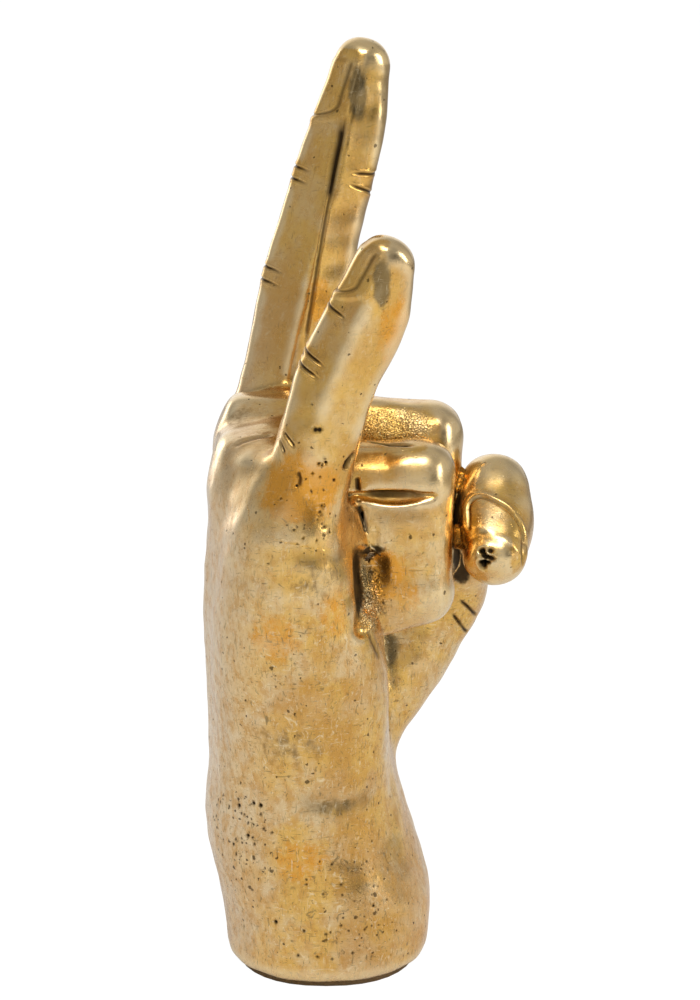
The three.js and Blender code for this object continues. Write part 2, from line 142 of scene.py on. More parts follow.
class Flesh:
    """A rounded run of flesh, measured closely only where points are near it.

    Its classes give start_back, length, reaches and square: how far it starts behind its first joint, its
    length from there, the reach of its two rounded ends and the power of its outline.
    """

    FAR = 24.0

    def local(self, points: np.ndarray) -> np.ndarray:
        """Reads points in the flesh's own axes: rows across it, to its palm side and along it."""
        raise NotImplementedError

    def radii(self, along: np.ndarray) -> np.ndarray:
        """Reads dorsal, palmar and half width at distances along the flesh."""
        raise NotImplementedError

    def far_distance(self, points: np.ndarray) -> np.ndarray:
        """Measures points roughly, never too far."""
        raise NotImplementedError

    def distance(self, points: np.ndarray) -> np.ndarray:
        """Measures how far points are outside the flesh.

        Args:
            points: Points in the hand's frame.

        Returns:
            Distances, negative inside.
        """
        result = self.far_distance(points)
        near = np.flatnonzero(result < self.FAR)
        if len(near):
            result[near] = self._near_distance(points[:, near])
        return result

    def _near_distance(self, points: np.ndarray) -> np.ndarray:
        """Measures points close enough for the section's shape to count."""
        across, palmward, along = self.local(points)
        dorsal, palmar, half = self.radii(along)
        deep = np.where(palmward > 0, palmar, dorsal)
        before = np.maximum(-self.start_back - along, 0.0)
        after = np.maximum(along - self.length, 0.0)
        over = before / self.reaches[0] + after / self.reaches[1]
        shares = palmward / deep, across / half, over
        return outline_distance(shares, (across, palmward, before + after), self.square)


@dataclass(frozen=True)
class FleshBar(Flesh):
    """A bar of flesh with rounded ends, such as one bone's length of a finger.

    Attributes:
        start: Centre of the first section.
        end: Centre of the last section.
        side: Direction of the sections' width.
        sections: Three sections: at the start, halfway and at the end.
        square: Power of the section's outline; 2 is an ellipse and more is squarer.
        start_reach: How far the rounding goes beyond the start; 0 takes it from the first section.
        end_reach: How far the rounding goes beyond the end; 0 takes it from the last section.
    """

    start: Triple
    end: Triple
    side: Triple
    sections: tuple[Section, ...]
    square: float = 2.25
    start_reach: float = 0.0
    end_reach: float = 0.0

    start_back = 0.0
    BLANK_SEGMENTS = (20, 14)

    @cached_property
    def length(self) -> float:
        """Distance from start to end."""
        return float(np.linalg.norm(np.subtract(self.end, self.start)))

    @cached_property
    def axes(self) -> np.ndarray:
        """Rows: across the bar, to its palm side and along it."""
        along = unit(np.subtract(self.end, self.start))
        side = np.asarray(self.side, np.float32)
        across = unit(side - along * (side @ along))
        return np.stack([across, np.cross(across, along), along])

    @cached_property
    def middle(self) -> np.ndarray:
        """Point halfway along the bar."""
        return (np.asarray(self.start, np.float32) + np.asarray(self.end, np.float32)) / 2

    @cached_property
    def reaches(self) -> tuple[float, float]:
        """How far the roundings go beyond the two ends."""
        first, last = self.sections[0], self.sections[-1]
        return (
            self.start_reach or (first.dorsal + first.palmar + 2 * first.half) / 4,
            self.end_reach or (last.dorsal + last.palmar + 2 * last.half) / 4,
        )

    @cached_property
    def around(self) -> float:
        """Radius of a ball round the whole bar."""
        widest = max(max(s.dorsal, s.palmar, s.half) for s in self.sections)
        return self.length / 2 + max(widest, *self.reaches)

    def local(self, points: np.ndarray) -> np.ndarray:
        """Reads points in the bar's own axes: rows across it, to its palm side and along it."""
        return self.axes @ (points - column(self.start))

    def radii(self, along: np.ndarray) -> tuple[np.ndarray, ...]:
        """Reads the section along the bar.

        Args:
            along: Distances from the start.

        Returns:
            Dorsal, palmar and half width there.
        """
        t = np.clip(along / self.length, 0.0, 1.0)
        made = []
        for name in ("dorsal", "palmar", "half"):
            a, b, c = (getattr(s, name) for s in self.sections)
            made.append(a + t * ((4 * b - 3 * a - c) + t * (2 * a + 2 * c - 4 * b)))
        return tuple(made)

    def far_distance(self, points: np.ndarray) -> np.ndarray:
        """Measures points to a ball round the bar."""
        return length_of(points - column(self.middle)) - self.around

    def add_blank(self, shape: bmesh.types.BMesh, swell: float) -> None:
        """Adds a plain stretched ball about the size of the bar.

        Args:
            shape: Mesh the ball is added to.
            swell: Extra size all round.
        """
        section = self.sections[len(self.sections) // 2]
        middle = self.middle + self.axes[1] * (section.palmar - section.dorsal) / 2
        middle = middle + self.axes[2] * (self.reaches[1] - self.reaches[0]) / 2
        size = (
            section.half + swell,
            (section.dorsal + section.palmar) / 2 + swell,
            (self.length + sum(self.reaches)) / 2 + swell,
        )
        place = Matrix(self.axes.T.tolist()).to_4x4() @ Matrix.Diagonal((*size, 1.0))
        place.translation = Vector(middle.tolist())
        around, along = self.BLANK_SEGMENTS
        bmesh.ops.create_uvsphere(shape, u_segments=around, v_segments=along, radius=1.0, matrix=place)


@dataclass(frozen=True)
class Facet:
    """A flat face worn along one bone, or along a whole straight digit.

    Attributes:
        bone: Which bone, counted from the knuckle; a straight digit only has one.
        angle: Way the face looks, in degrees round the bone: 0 is the palm side, 90 the thumb's side.
        start: Distance of the face from the bone's axis at the bone's start.
        end: The same at the bone's end.
        blend: Rounding of the face's edges.
    """

    bone: int
    angle: float
    start: float
    end: float
    blend: float = 1.6

    def worn(self, limb: Flesh, points: np.ndarray, distance: np.ndarray) -> np.ndarray:
        """Wears a shape down to the face.

        Args:
            limb: The bone's bar or the straight digit's limb.
            points: Points in the hand's frame.
            distance: Distances to the shape before.

        Returns:
            Distances to the worn shape.
        """
        near = np.flatnonzero(distance < limb.FAR / 2)
        if not len(near):
            return distance
        across, palmward, along = limb.local(points[:, near])
        turn = math.radians(self.angle)
        level = self.start + (self.end - self.start) * along / limb.length
        face = across * math.sin(turn) + palmward * math.cos(turn) - level
        distance[near] = soft_max(distance[near], face, self.blend)
        return distance


def level_bar(start: Triple, end: Triple, *triples: Triple, **reaches: float) -> FleshBar:
    """Sets out a bar whose width runs to the thumb's side, from its three sections and its reaches."""
    return FleshBar(start, end, THUMBWARD, sections(*triples), **reaches)


def eased_rows(stations: np.ndarray, keys: Sequence[float], rows: np.ndarray, ease: float) -> np.ndarray:
    """Runs soft curves past rows of keys; beyond the keys they keep the last value.

    Args:
        stations: Evenly spaced stations at which the curves are wanted.
        keys: Stations of the keys.
        rows: One row of key values for each curve.
        ease: Reach of the smoothing.

    Returns:
        One row of values for each curve.
    """
    step = stations[1] - stations[0]
    pad = int(3 * ease / step)
    reach = step * np.arange(-pad, pad + 1)
    weights = np.exp(-0.5 * (reach / ease) ** 2)
    weights = weights / weights.sum()
    wide = stations[0] + step * np.arange(-pad, len(stations) + pad)
    return np.stack([np.convolve(np.interp(wide, keys, row), weights, mode="valid") for row in rows])


@dataclass(frozen=True)
class Limb(Flesh):
    """A nearly straight digit, swept in one run so that its joints don't show as steps.

    Attributes:
        joints: Centres of the joints from the knuckle to the tip, in one plane.
        side: Direction across the digit, square to that plane.
        sections: A section at each joint and halfway along each bone.
        root: How far the limb reaches back into the palm.
        root_round: Rounding of that end.
        square: Power of the sections' outline.
        ease: Reach of the smoothing along the limb.
    """

    joints: tuple[Triple, ...]
    side: Triple
    sections: tuple[Section, ...]
    root: float
    root_round: float
    square: float
    ease: float = 4.5

    STEP = 0.5
    RUN = 15.0
    SEARCHES = 3
    # Rows of the table: the centre alone, the centre with its direction, and the section.
    CENTRE, COURSE, SECTION = slice(1, 4), slice(1, 7), slice(7, 10)

    @cached_property
    def length(self) -> float:
        """Length from the knuckle to the last joint."""
        return float(sum(np.linalg.norm(np.diff(np.asarray(self.joints), axis=0), axis=1)))

    @property
    def start_back(self) -> float:
        """How far the limb starts behind the knuckle."""
        return self.root

    @property
    def reaches(self) -> tuple[float, float]:
        """How far the roundings go beyond the two ends."""
        last = self.sections[-1]
        return self.root_round, (last.dorsal + last.palmar + 2 * last.half) / 4

    @cached_property
    def table(self) -> np.ndarray:
        """Rows of distance along, centre, direction, dorsal, palmar and half width."""
        joints = np.asarray(self.joints, float)
        runs = np.linalg.norm(np.diff(joints, axis=0), axis=1)
        marks = np.concatenate([[0.0], np.cumsum(runs)])
        back = joints[0] - unit(joints[1] - joints[0]) * (self.root + self.RUN)
        ahead = joints[-1] + unit(joints[-1] - joints[-2]) * self.RUN * 2
        stations = np.arange(-self.root, marks[-1] + self.RUN, self.STEP)
        knots = [-self.root - self.RUN, *marks, marks[-1] + self.RUN * 2]
        centre = eased_rows(stations, knots, np.vstack([back, joints, ahead]).T, self.ease)
        way = np.gradient(centre, self.STEP, axis=1)
        way /= np.linalg.norm(way, axis=0)
        halfway = (marks[1:] + marks[:-1]) / 2
        keys = np.sort(np.concatenate([marks, halfway]))
        cuts = np.array([(cut.dorsal, cut.palmar, cut.half) for cut in self.sections]).T
        keys, cuts = np.concatenate([[-self.root], keys]), np.hstack([cuts[:, :1], cuts])
        return np.vstack([stations, centre, way, eased_rows(stations, keys, cuts, self.ease)])

    def _at(self, along: np.ndarray, rows: slice) -> np.ndarray:
        """Reads rows of the table at distances along the limb."""
        table = self.table
        return np.stack([np.interp(along, table[0], row) for row in table[rows]]).astype(np.float32)

    def local(self, points: np.ndarray) -> np.ndarray:
        """Reads points in the limb's own axes.

        Args:
            points: Points in the hand's frame.

        Returns:
            Rows: distances across the limb, to its palm side and along it from the knuckle.
        """
        way = unit(np.subtract(self.joints[-1], self.joints[0]))
        along = way @ (points - column(self.joints[0]))
        for _ in range(self.SEARCHES):
            centre, way = np.split(self._at(along, self.COURSE), 2)
            apart = points - centre
            along = np.clip(along, -self.root, self.table[0, -1]) + np.sum(apart * way, axis=0)
        side = column(self.side)
        palm = np.cross(side.T, way.T).T
        return np.stack([np.sum(apart * side, axis=0), np.sum(apart * palm, axis=0), along])

    def radii(self, along: np.ndarray) -> np.ndarray:
        """Reads dorsal, palmar and half width at distances along the limb."""
        return self._at(along, self.SECTION)

    def far_distance(self, points: np.ndarray) -> np.ndarray:
        """Measures points to a box round the limb's line."""
        line = self.table[self.CENTRE]
        low, high = line.min(axis=1), line.max(axis=1)
        beyond = np.maximum(np.maximum(column(low) - points, points - column(high)), 0.0)
        return length_of(beyond) - float(self.table[self.SECTION].max())


@dataclass(frozen=True)
class WristSection:
    """One level of the wrist and palm: centre, half depth, half width and squareness of the outline."""

    height: float
    x: float
    y: float
    depth: float
    width: float
    square: float


@dataclass(frozen=True)
class WristLoft:
    """The wrist and the block of the palm, lofted through level sections.

    Attributes:
        levels: Sections from the foot up.
        cap: How far the rounding goes above the last section.
        ease: Reach of the smoothing between sections.
    """

    levels: tuple[WristSection, ...]
    cap: float = 7.0
    ease: float = 5.0

    STEP = 0.5
    SKIRT = 12.0
    BLANK_SIDES = 72
    BLANK_CUTS = 40

    @cached_property
    def table(self) -> np.ndarray:
        """Rows of height, x, y, depth, width and square, eased from level to level."""
        heights = [level.height for level in self.levels]
        stations = np.arange(heights[0] - self.SKIRT, heights[-1] + self.STEP / 2, self.STEP)
        rows = np.array([(at.x, at.y, at.depth, at.width, at.square) for at in self.levels]).T
        return np.vstack([stations, eased_rows(stations, heights, rows, self.ease)])

    def at(self, heights: np.ndarray) -> np.ndarray:
        """Reads rows of x, y, depth, width and square at heights above the foot."""
        table = self.table
        return np.stack([np.interp(heights, table[0], row) for row in table[1:]]).astype(np.float32)

    def distance(self, points: np.ndarray) -> np.ndarray:
        """Measures how far points are outside the wrist and palm.

        Args:
            points: Points in the hand's frame.

        Returns:
            Distances, negative inside.
        """
        x, y, depth, width, square = self.at(points[2])
        across, deep = points[1] - y, points[0] - x
        over = np.maximum(points[2] - self.levels[-1].height, 0.0)
        return outline_distance((deep / depth, across / width, over / self.cap), (across, deep, over), square)

    def add_blank(self, shape: bmesh.types.BMesh) -> None:
        """Adds a plain barrel through the sections.

        Args:
            shape: Empty mesh that takes the barrel.
        """
        low, high = self.levels[0].height, self.levels[-1].height
        bmesh.ops.create_cone(
            shape, cap_ends=True, segments=self.BLANK_SIDES, radius1=1.0, radius2=1.0, depth=1.0,
            matrix=Matrix.Translation((0.0, 0.0, 0.5)),
        )
        upright = [e for e in shape.edges if abs(e.verts[0].co.z - e.verts[1].co.z) > 0.5]
        bmesh.ops.subdivide_edges(shape, edges=upright, cuts=self.BLANK_CUTS)
        heights = np.array([low + (high - low) * vert.co.z for vert in shape.verts])
        for vert, height, level in zip(shape.verts, heights, self.at(heights).T.tolist()):
            x, y, depth, width, _ = level
            vert.co = (x + vert.co.x * depth, y + vert.co.y * width, height)


@dataclass(frozen=True)
class Digit:
    """A finger or the thumb, as a chain of flesh bars.

    Attributes:
        name: Name of the CAD node that the digit stands for.
        joints: Centres of the joints from the knuckle to the tip.
        side: Direction across the digit.
        sections: A section at each joint and halfway along each bone.
        root: How far the first bar reaches back into the palm.
        root_round: Rounding of that end.
        seam: How far along the first bone the casting was cut from the palm.
        square: Power of the sections' outline.
        joint_blend: Rounding between neighbouring bones.
        swept: Whether the digit is nearly straight and runs through its joints in one sweep.
        flesh: Further bars of flesh that belong to the digit.
        melt: Distances from the knuckle between which the flesh parts from the palm.
        facets: Flat faces worn onto the digit.
    """

    name: str
    joints: tuple[Triple, ...]
    side: Triple
    sections: tuple[Section, ...]
    root: float
    root_round: float
    seam: float
    square: float = 2.25
    joint_blend: float = 1.6
    swept: bool = False
    flesh: tuple[FleshBar, ...] = ()
    melt: tuple[float, float] = (14.0, 30.0)
    facets: tuple[Facet, ...] = ()

    @cached_property
    def bars(self) -> tuple[FleshBar, ...]:
        """One bar for each bone."""
        made = []
        for i in range(len(self.joints) - 1):
            start, end = np.asarray(self.joints[i], float), np.asarray(self.joints[i + 1], float)
            reach = 0.0
            if i == 0:
                start = start - unit(end - start) * self.root
                reach = self.root_round
            cuts = self.sections[2 * i:2 * i + 3]
            made.append(FleshBar(tuple(start), tuple(end), self.side, cuts, self.square, reach))
        return tuple(made)

    @cached_property
    def limb(self) -> Limb:
        """The digit in one sweep."""
        return Limb(self.joints, self.side, self.sections, self.root, self.root_round, self.square)

    @cached_property
    def seam_plane(self) -> tuple[np.ndarray, np.ndarray]:
        """A point on the cut between the digit and the palm, and the direction out of the palm."""
        along = self.bars[0].axes[2]
        return np.asarray(self.joints[0], np.float32) + along * self.seam, along

    def distance(self, points: np.ndarray) -> np.ndarray:
        """Measures how far points are outside the digit.

        Args:
            points: Points in the hand's frame.

        Returns:
            Distances, negative inside.
        """
        limbs = (self.limb,) if self.swept else self.bars
        parts = [limb.distance(points) for limb in limbs]
        for facet in self.facets:
            parts[facet.bone] = facet.worn(limbs[facet.bone], points, parts[facet.bone])
        result = parts[0]
        for part in parts[1:]:
            result = soft_min(result, part, self.joint_blend)
        for bar in self.flesh:
            result = soft_min(result, bar.distance(points), FLESH_BLEND)
        return result

    def melting(self, points: np.ndarray) -> np.ndarray:
        """Tells where the digit runs into the palm: 1 at the knuckle, 0 where it is free."""
        return 1.0 - smooth_step(*self.melt, length_of(points - column(self.joints[0])))


def finger(
    name: str, knuckle: Triple, splay: float, lengths: Triple, bends: Triple,
    cuts: Sequence[Triple], **rest: object,
) -> Digit:
    """Sets out a finger from its knuckle and the bends of its joints.

    Args:
        name: Name of the CAD node that the finger stands for.
        knuckle: Centre of the knuckle.
        splay: Lean of the finger to the thumb's side, in degrees.
        lengths: Lengths of the bones.
        bends: Bend towards the palm at the knuckle, the middle joint and the end joint, in degrees.
        cuts: Sections at each joint and halfway along each bone.
        rest: The digit's other values.

    Returns:
        The finger.
    """
    turn = math.radians(splay)
    joints = [knuckle]
    lean = 0.0
    for length, bend in zip(lengths, bends):
        lean += math.radians(bend)
        way = (math.sin(lean), math.sin(turn) * math.cos(lean), math.cos(turn) * math.cos(lean))
        joints.append(tuple(a + length * b for a, b in zip(joints[-1], way)))
    side = (0.0, math.cos(turn), -math.sin(turn))
    return Digit(name, tuple(joints), side, sections(*cuts), **rest)


@dataclass(frozen=True)
class HandForm:
    """The whole hand as one form: wrist, pads and digits run together the way a cast hand does.

    Attributes:
        wrist: Wrist and block of the palm.
        pads: Muscle pads and bones under the palm's skin.
        digits: Fingers and thumb.
        carvings: Hollows taken out of the finished form, with the rounding of their edges.
        pad_blend: Rounding between the pads and the palm.
        root_blend: Rounding where a digit leaves the palm.
        touch_blend: Rounding where two digits only touch.
        foot_blend: Rounding of the foot's edge.
    """

    wrist: WristLoft
    pads: tuple[FleshBar, ...]
    digits: tuple[Digit, ...]
    carvings: tuple[tuple[FleshBar, float], ...] = ()
    pad_blend: float = 9.0
    root_blend: float = 7.0
    touch_blend: float = 0.9
    foot_blend: float = 3.5

    CLAIM = 40.0

    def members(self, points: np.ndarray) -> list[np.ndarray]:
        """Measures the palm and each digit apart.

        Args:
            points: Points in the hand's frame.

        Returns:
            Distances to the palm, then to each digit.
        """
        palm = self.wrist.distance(points)
        for pad in self.pads:
            palm = soft_min(palm, pad.distance(points), self.pad_blend)
        return [palm] + [digit.distance(points) for digit in self.digits]

    def distance(self, points: np.ndarray) -> np.ndarray:
        """Measures how far points are outside the hand.

        Args:
            points: Points in the hand's frame.

        Returns:
            Distances, negative inside.
        """
        result, *apart = self.members(points)
        for digit, distance in zip(self.digits, apart):
            blend = self.touch_blend + (self.root_blend - self.touch_blend) * digit.melting(points)
            result = soft_min(result, distance, blend)
        for carving, blend in self.carvings:
            result = soft_max(result, -carving.distance(points), blend)
        return soft_max(result, -points[2], self.foot_blend)

    def territory(self, digit: Digit, swell: float) -> Measure:
        """Finds the space that belongs to one digit more than to the rest of the hand.

        Args:
            digit: The digit.
            swell: How far the space goes beyond the digit's skin.

        Returns:
            A measure of that space, negative inside.
        """
        place = 1 + self.digits.index(digit)
        point, along = digit.seam_plane

        def measure(points: np.ndarray) -> np.ndarray:
            """Measures how far points are outside the space."""
            members = self.members(points)
            members[0] = members[0] + self.CLAIM * digit.melting(points)
            own = members.pop(place)
            apart = np.maximum((own - np.min(members, axis=0)) / 2, own - swell)
            return np.maximum(apart, -(along @ (points - column(point))) - swell)

        return measure


def read_rows(items: object, name: str, width: int, kind: type = np.float32) -> np.ndarray:
    """Reads one property of a mesh's points, edges or normals.

    Args:
        items: What is read.
        name: Name of the property.
        width: Number of values that each item has.
        kind: Kind of the values.

    Returns:
        One row for each item.
    """
    values = np.zeros(len(items) * width, kind)
    items.foreach_get(name, values)
    return values.reshape(-1, width)


def read_points(mesh: bpy.types.Mesh) -> np.ndarray:
    """Reads a mesh's points, one column for each."""
    return np.ascontiguousarray(read_rows(mesh.vertices, "co", 3).T)


def write_points(mesh: bpy.types.Mesh, points: np.ndarray) -> None:
    """Moves a mesh's points to the columns given."""
    mesh.vertices.foreach_set("co", np.ascontiguousarray(points.T, np.float32).ravel())
    mesh.update()


def write_mask(mesh: bpy.types.Mesh, name: str, values: np.ndarray) -> None:
    """Stores one value for each point of a mesh under a name that materials read."""
    mask = mesh.attributes.get(name) or mesh.attributes.new(name, "FLOAT", "POINT")
    mask.data.foreach_set("value", np.ascontiguousarray(values, np.float32))


def apply_modifiers(body: bpy.types.Object) -> None:
    """Puts an object's modifiers into its mesh.

    Args:
        body: The object.
    """
    graph = bpy.context.evaluated_depsgraph_get()
    made = bpy.data.meshes.new_from_object(body.evaluated_get(graph), depsgraph=graph)
    spent, body.data = body.data, made
    body.modifiers.clear()
    bpy.data.meshes.remove(spent)


def new_body(shape: bmesh.types.BMesh, name: str) -> bpy.types.Object:
    """Turns a working mesh into an object.

    Args:
        shape: The working mesh; freed here.
        name: Name of the object.

    Returns:
        The object.
    """
    mesh = bpy.data.meshes.new(name)
    shape.to_mesh(mesh)
    shape.free()
    body = bpy.data.objects.new(name, mesh)
    bpy.context.collection.objects.link(body)
    return body


@contextmanager
def reworked(mesh: bpy.types.Mesh) -> Iterator[bmesh.types.BMesh]:
    """Opens a mesh for rework and puts the result back.

    Args:
        mesh: The mesh.

    Yields:
        The working mesh.
    """
    shape = bmesh.new()
    shape.from_mesh(mesh)
    yield shape
    shape.to_mesh(mesh)
    shape.free()


def shells_of(shape: bmesh.types.BMesh) -> list[list[bmesh.types.BMVert]]:
    """Finds the separate shells of a mesh.

    Args:
        shape: The working mesh.

    Returns:
        The points of each shell, the largest shell last.
    """
    left = set(shape.verts)
    shells = []
    while left:
        front = [left.pop()]
        shell = []
        while front:
            vert = front.pop()
            shell.append(vert)
            fresh = left.intersection(edge.other_vert(vert) for edge in vert.link_edges)
            left -= fresh
            front.extend(fresh)
        shells.append(shell)
    return sorted(shells, key=len)


class Weave:
    """Which points of a mesh are neighbours."""

    def __init__(self, mesh: bpy.types.Mesh) -> None:
        """Reads the edges of a mesh.

        Args:
            mesh: The mesh.
        """
        pairs = read_rows(mesh.edges, "vertices", 2, np.int32)
        self.start = np.concatenate([pairs[:, 0], pairs[:, 1]])
        self.end = np.concatenate([pairs[:, 1], pairs[:, 0]])
        self.count = len(mesh.vertices)
        self.share = 1.0 / np.maximum(np.bincount(self.start, minlength=self.count), 1)

    def around(self, values: np.ndarray) -> np.ndarray:
        """Averages each point's neighbours.

        Args:
            values: One value for each point, or rows of them.

        Returns:
            The averages, in the same form.
        """
        if values.ndim > 1:
            return np.stack([self.around(row) for row in values])
        return (np.bincount(self.start, values[self.end], self.count) * self.share).astype(np.float32)

    def spread(self, values: np.ndarray, rounds: int) -> np.ndarray:
        """Smooths values, or rows of them, over the mesh as often as asked."""
        for _ in range(rounds):
            values = 0.5 * values + 0.5 * self.around(values)
        return values


class Surface:
    """A mesh drawn onto the skin of a measured shape."""

    PROBES = np.array([(1, -1, -1), (-1, -1, 1), (-1, 1, -1), (1, 1, 1)], np.float32)
    PROBE = 0.08
    STRIDE = 1.6
    LEAST_SLOPE = 0.3
    HANDS = 4
    SETTLES = 6
    RELAX = 0.6
    RESETTLES = 2

    def __init__(self, measure: Measure) -> None:
        """Takes the measure of a shape: distances from it, negative inside."""
        self.measure = measure

    def probe(self, points: np.ndarray) -> tuple[np.ndarray, np.ndarray]:
        """Reads the distance and its slope.

        Args:
            points: Points in the hand's frame.

        Returns:
            Distances and columns of slopes.
        """
        jobs = [points + column(self.PROBE * way) for way in self.PROBES]
        with ThreadPoolExecutor(self.HANDS) as pool:
            values = list(pool.map(self.measure, jobs))
        slope = sum(column(way) * value for value, way in zip(values, self.PROBES))
        return sum(values) / len(values), slope / (len(values) * self.PROBE)

    def settle(self, points: np.ndarray, rounds: int) -> np.ndarray:
        """Moves points onto the skin.

        Args:
            points: Points near the skin.
            rounds: How often each point is moved.

        Returns:
            The moved points.
        """
        for _ in range(rounds):
            distance, slope = self.probe(points)
            steep = length_of(slope)
            step = np.clip(distance / np.maximum(steep, self.LEAST_SLOPE), -self.STRIDE, self.STRIDE)
            points = points - slope / np.maximum(steep, TINY) * step
        return points

    def draw(self, blank: bpy.types.Object, grain: float, passes: int = 2) -> None:
        """Turns rough bodies into an even closed mesh of the shape.

        Args:
            blank: Object with closed bodies about the size of the shape; its mesh is replaced.
            grain: Size of the mesh's faces.
            passes: How often the mesh is relaxed and settled again.
        """
        for size in (2.0 * grain, grain):
            remesh = blank.modifiers.new("even", "REMESH")
            remesh.mode = "VOXEL"
            remesh.voxel_size = size
            apply_modifiers(blank)
            with reworked(blank.data) as shape:
                loose = [vert for shell in shells_of(shape)[:-1] for vert in shell]
                bmesh.ops.delete(shape, geom=loose, context="VERTS")
            points = self.settle(read_points(blank.data), self.SETTLES)
            write_points(blank.data, points)
        weave = Weave(blank.data)
        for _ in range(passes):
            points = self.settle(points + self.RELAX * (weave.around(points) - points), self.RESETTLES)
        write_points(blank.data, points)


@dataclass(frozen=True)
class Skin:
    """What marks are pressed into.

    Attributes:
        points: Points on the hand's form, as columns.
        normals: The way that each point faces, as columns.
        owner: Which member each point lies on: 0 for the palm, then the digits in their order.
        form: The hand's form.
    """

    points: np.ndarray
    normals: np.ndarray
    owner: np.ndarray
    form: HandForm

    def on(self, digit: Digit) -> np.ndarray:
        """Finds the places of a digit's points."""
        return np.flatnonzero(self.owner == 1 + self.form.digits.index(digit))

    def within(self, centre: Sequence[float], radius: float) -> np.ndarray:
        """Finds the points in a ball.

        Args:
            centre: Centre of the ball.
            radius: Radius of the ball.

        Returns:
            Places of the points.
        """
        inside = [np.abs(row - middle) < radius for row, middle in zip(self.points, centre)]
        boxed = np.flatnonzero(inside[0] & inside[1] & inside[2])
        return boxed[length_of(self.points[:, boxed] - column(centre)) < radius]


class Tint(Enum):
    """Ways that the metal's colour changes from place to place: real stains, raw skin and grime, and painted
    shade.
    """

    STAIN = "stain"
    # Painted shade and painted dark reflections, laid on as a dull dark colour.
    SHADE = "shade"
    RAW = "raw"
    # Near-black grime in the gap beside the thumb, also painted shade in that gap and along the recess's
    # upper and left edges.
    GRIME = "grime"


@dataclass
class Print:
    """What marks have done to the skin, point by point.

    Attributes:
        rise: How far each point is lifted.
        dirt: How dark each point is, 0 to 1: old dirt in creases, pits and nail grooves, and painted shade
            and a painted reflection along a few grooves.
        fine: Whether the mesh needs finer faces there.
        tint: How strongly each tint shows there, 0 to 1.
    """

    rise: np.ndarray
    dirt: np.ndarray
    fine: np.ndarray
    tint: dict[Tint, np.ndarray]

    @classmethod
    def blank(cls, count: int) -> Print:
        """Starts with untouched skin of so many points."""
        rise, dirt, *tints = np.zeros((2 + len(Tint), count), np.float32)
        return cls(rise, dirt, np.zeros(count, bool), dict(zip(Tint, tints)))

    def add(self, places: np.ndarray, rise: np.ndarray, dirt: np.ndarray, fine: np.ndarray) -> None:
        """Adds one mark.

        Args:
            places: Points that the mark reaches.
            rise: How far it lifts them.
            dirt: How much dirt it holds there.
            fine: Whether it needs finer faces there.
        """
        self.rise[places] += rise
        self.dirt[places] = np.maximum(self.dirt[places], dirt)
        self.fine[places] |= fine


class Mark:
    """Something pressed into the skin or raised from it."""

    def press(self, skin: Skin, onto: Print) -> None:
        """Presses the mark."""
        raise NotImplementedError


def bell(away: np.ndarray, width: float) -> np.ndarray:
    """Falls from 1 on a line to nearly 0 at twice the width."""
    return np.exp(-((away / width) ** 2))


LIPS_AT = 2.0
DIRT_WIDTH = 1.15
FINE_REACH, FINE_MARGIN = 3.2, 0.5
WIDEST_FINE = 1.5


def cut_groove(
    cut: Crease | Groove, onto: Print, places: np.ndarray,
    away: np.ndarray, fade: np.ndarray, dark: np.ndarray,
) -> None:
    """Cuts a groove with raised lips.

    Args:
        cut: The groove's sizes.
        onto: Takes what the groove does.
        places: Points that it reaches.
        away: Their distances from the groove's line.
        fade: How deep the groove is there, from 0 to 1.
        dark: How dark it is there: dirt in most grooves, painted shade and a painted reflection in a few.
    """
    lips = bell(np.abs(away) - LIPS_AT * cut.width, cut.width)
    rise = cut.depth * (cut.lip * lips - bell(away, cut.width)) * fade
    fine = (np.abs(away) < FINE_REACH * cut.width + FINE_MARGIN) & (cut.width < WIDEST_FINE)
    onto.add(places, rise, dark * bell(away, DIRT_WIDTH * cut.width), fine)


@dataclass(frozen=True)
class Crease(Mark):
    """A skin crease across a digit.

    Attributes:
        digit: The digit.
        bone: Which bone it lies on, counted from the knuckle.
        along: How far from that bone's joint it lies.
        angle: Middle of the crease round the bone: 0 is the palm side, -90 the little finger's side.
        spread: How far it runs to either side, in degrees.
        depth: Depth.
        width: Half width.
        slant: How much further along it lies at the end with the larger angle.
        lip: Height of its lips as a share of the depth.
    """

    digit: Digit
    bone: int
    along: float
    angle: float
    spread: float
    depth: float = 0.4
    width: float = 0.38
    slant: float = 0.0
    lip: float = 0.25

    REACH, MARGIN = 4.5, 0.8
    BEYOND = 6.0
    FULL = 0.45

    def press(self, skin: Skin, onto: Print) -> None:
        """Presses the crease.

        Args:
            skin: The skin.
            onto: Takes what the mark does.
        """
        places = skin.on(self.digit)
        bar = self.digit.bars[self.bone]
        across, palmward, along = bar.local(skin.points[:, places])
        if self.bone == 0:
            along = along - self.digit.root
        turn = np.degrees(np.arctan2(across, palmward)) - self.angle
        turn = (turn + 180.0) % 360.0 - 180.0
        line = along - self.along - self.slant * turn / self.spread
        hit = np.abs(line) < self.REACH * self.width + self.MARGIN
        hit &= np.abs(turn) < self.spread + self.BEYOND
        line, turn = line[hit], turn[hit]
        fade = 1.0 - smooth_step(self.FULL * self.spread, self.spread, np.abs(turn))
        cut_groove(self, onto, places[hit], line, fade, fade)


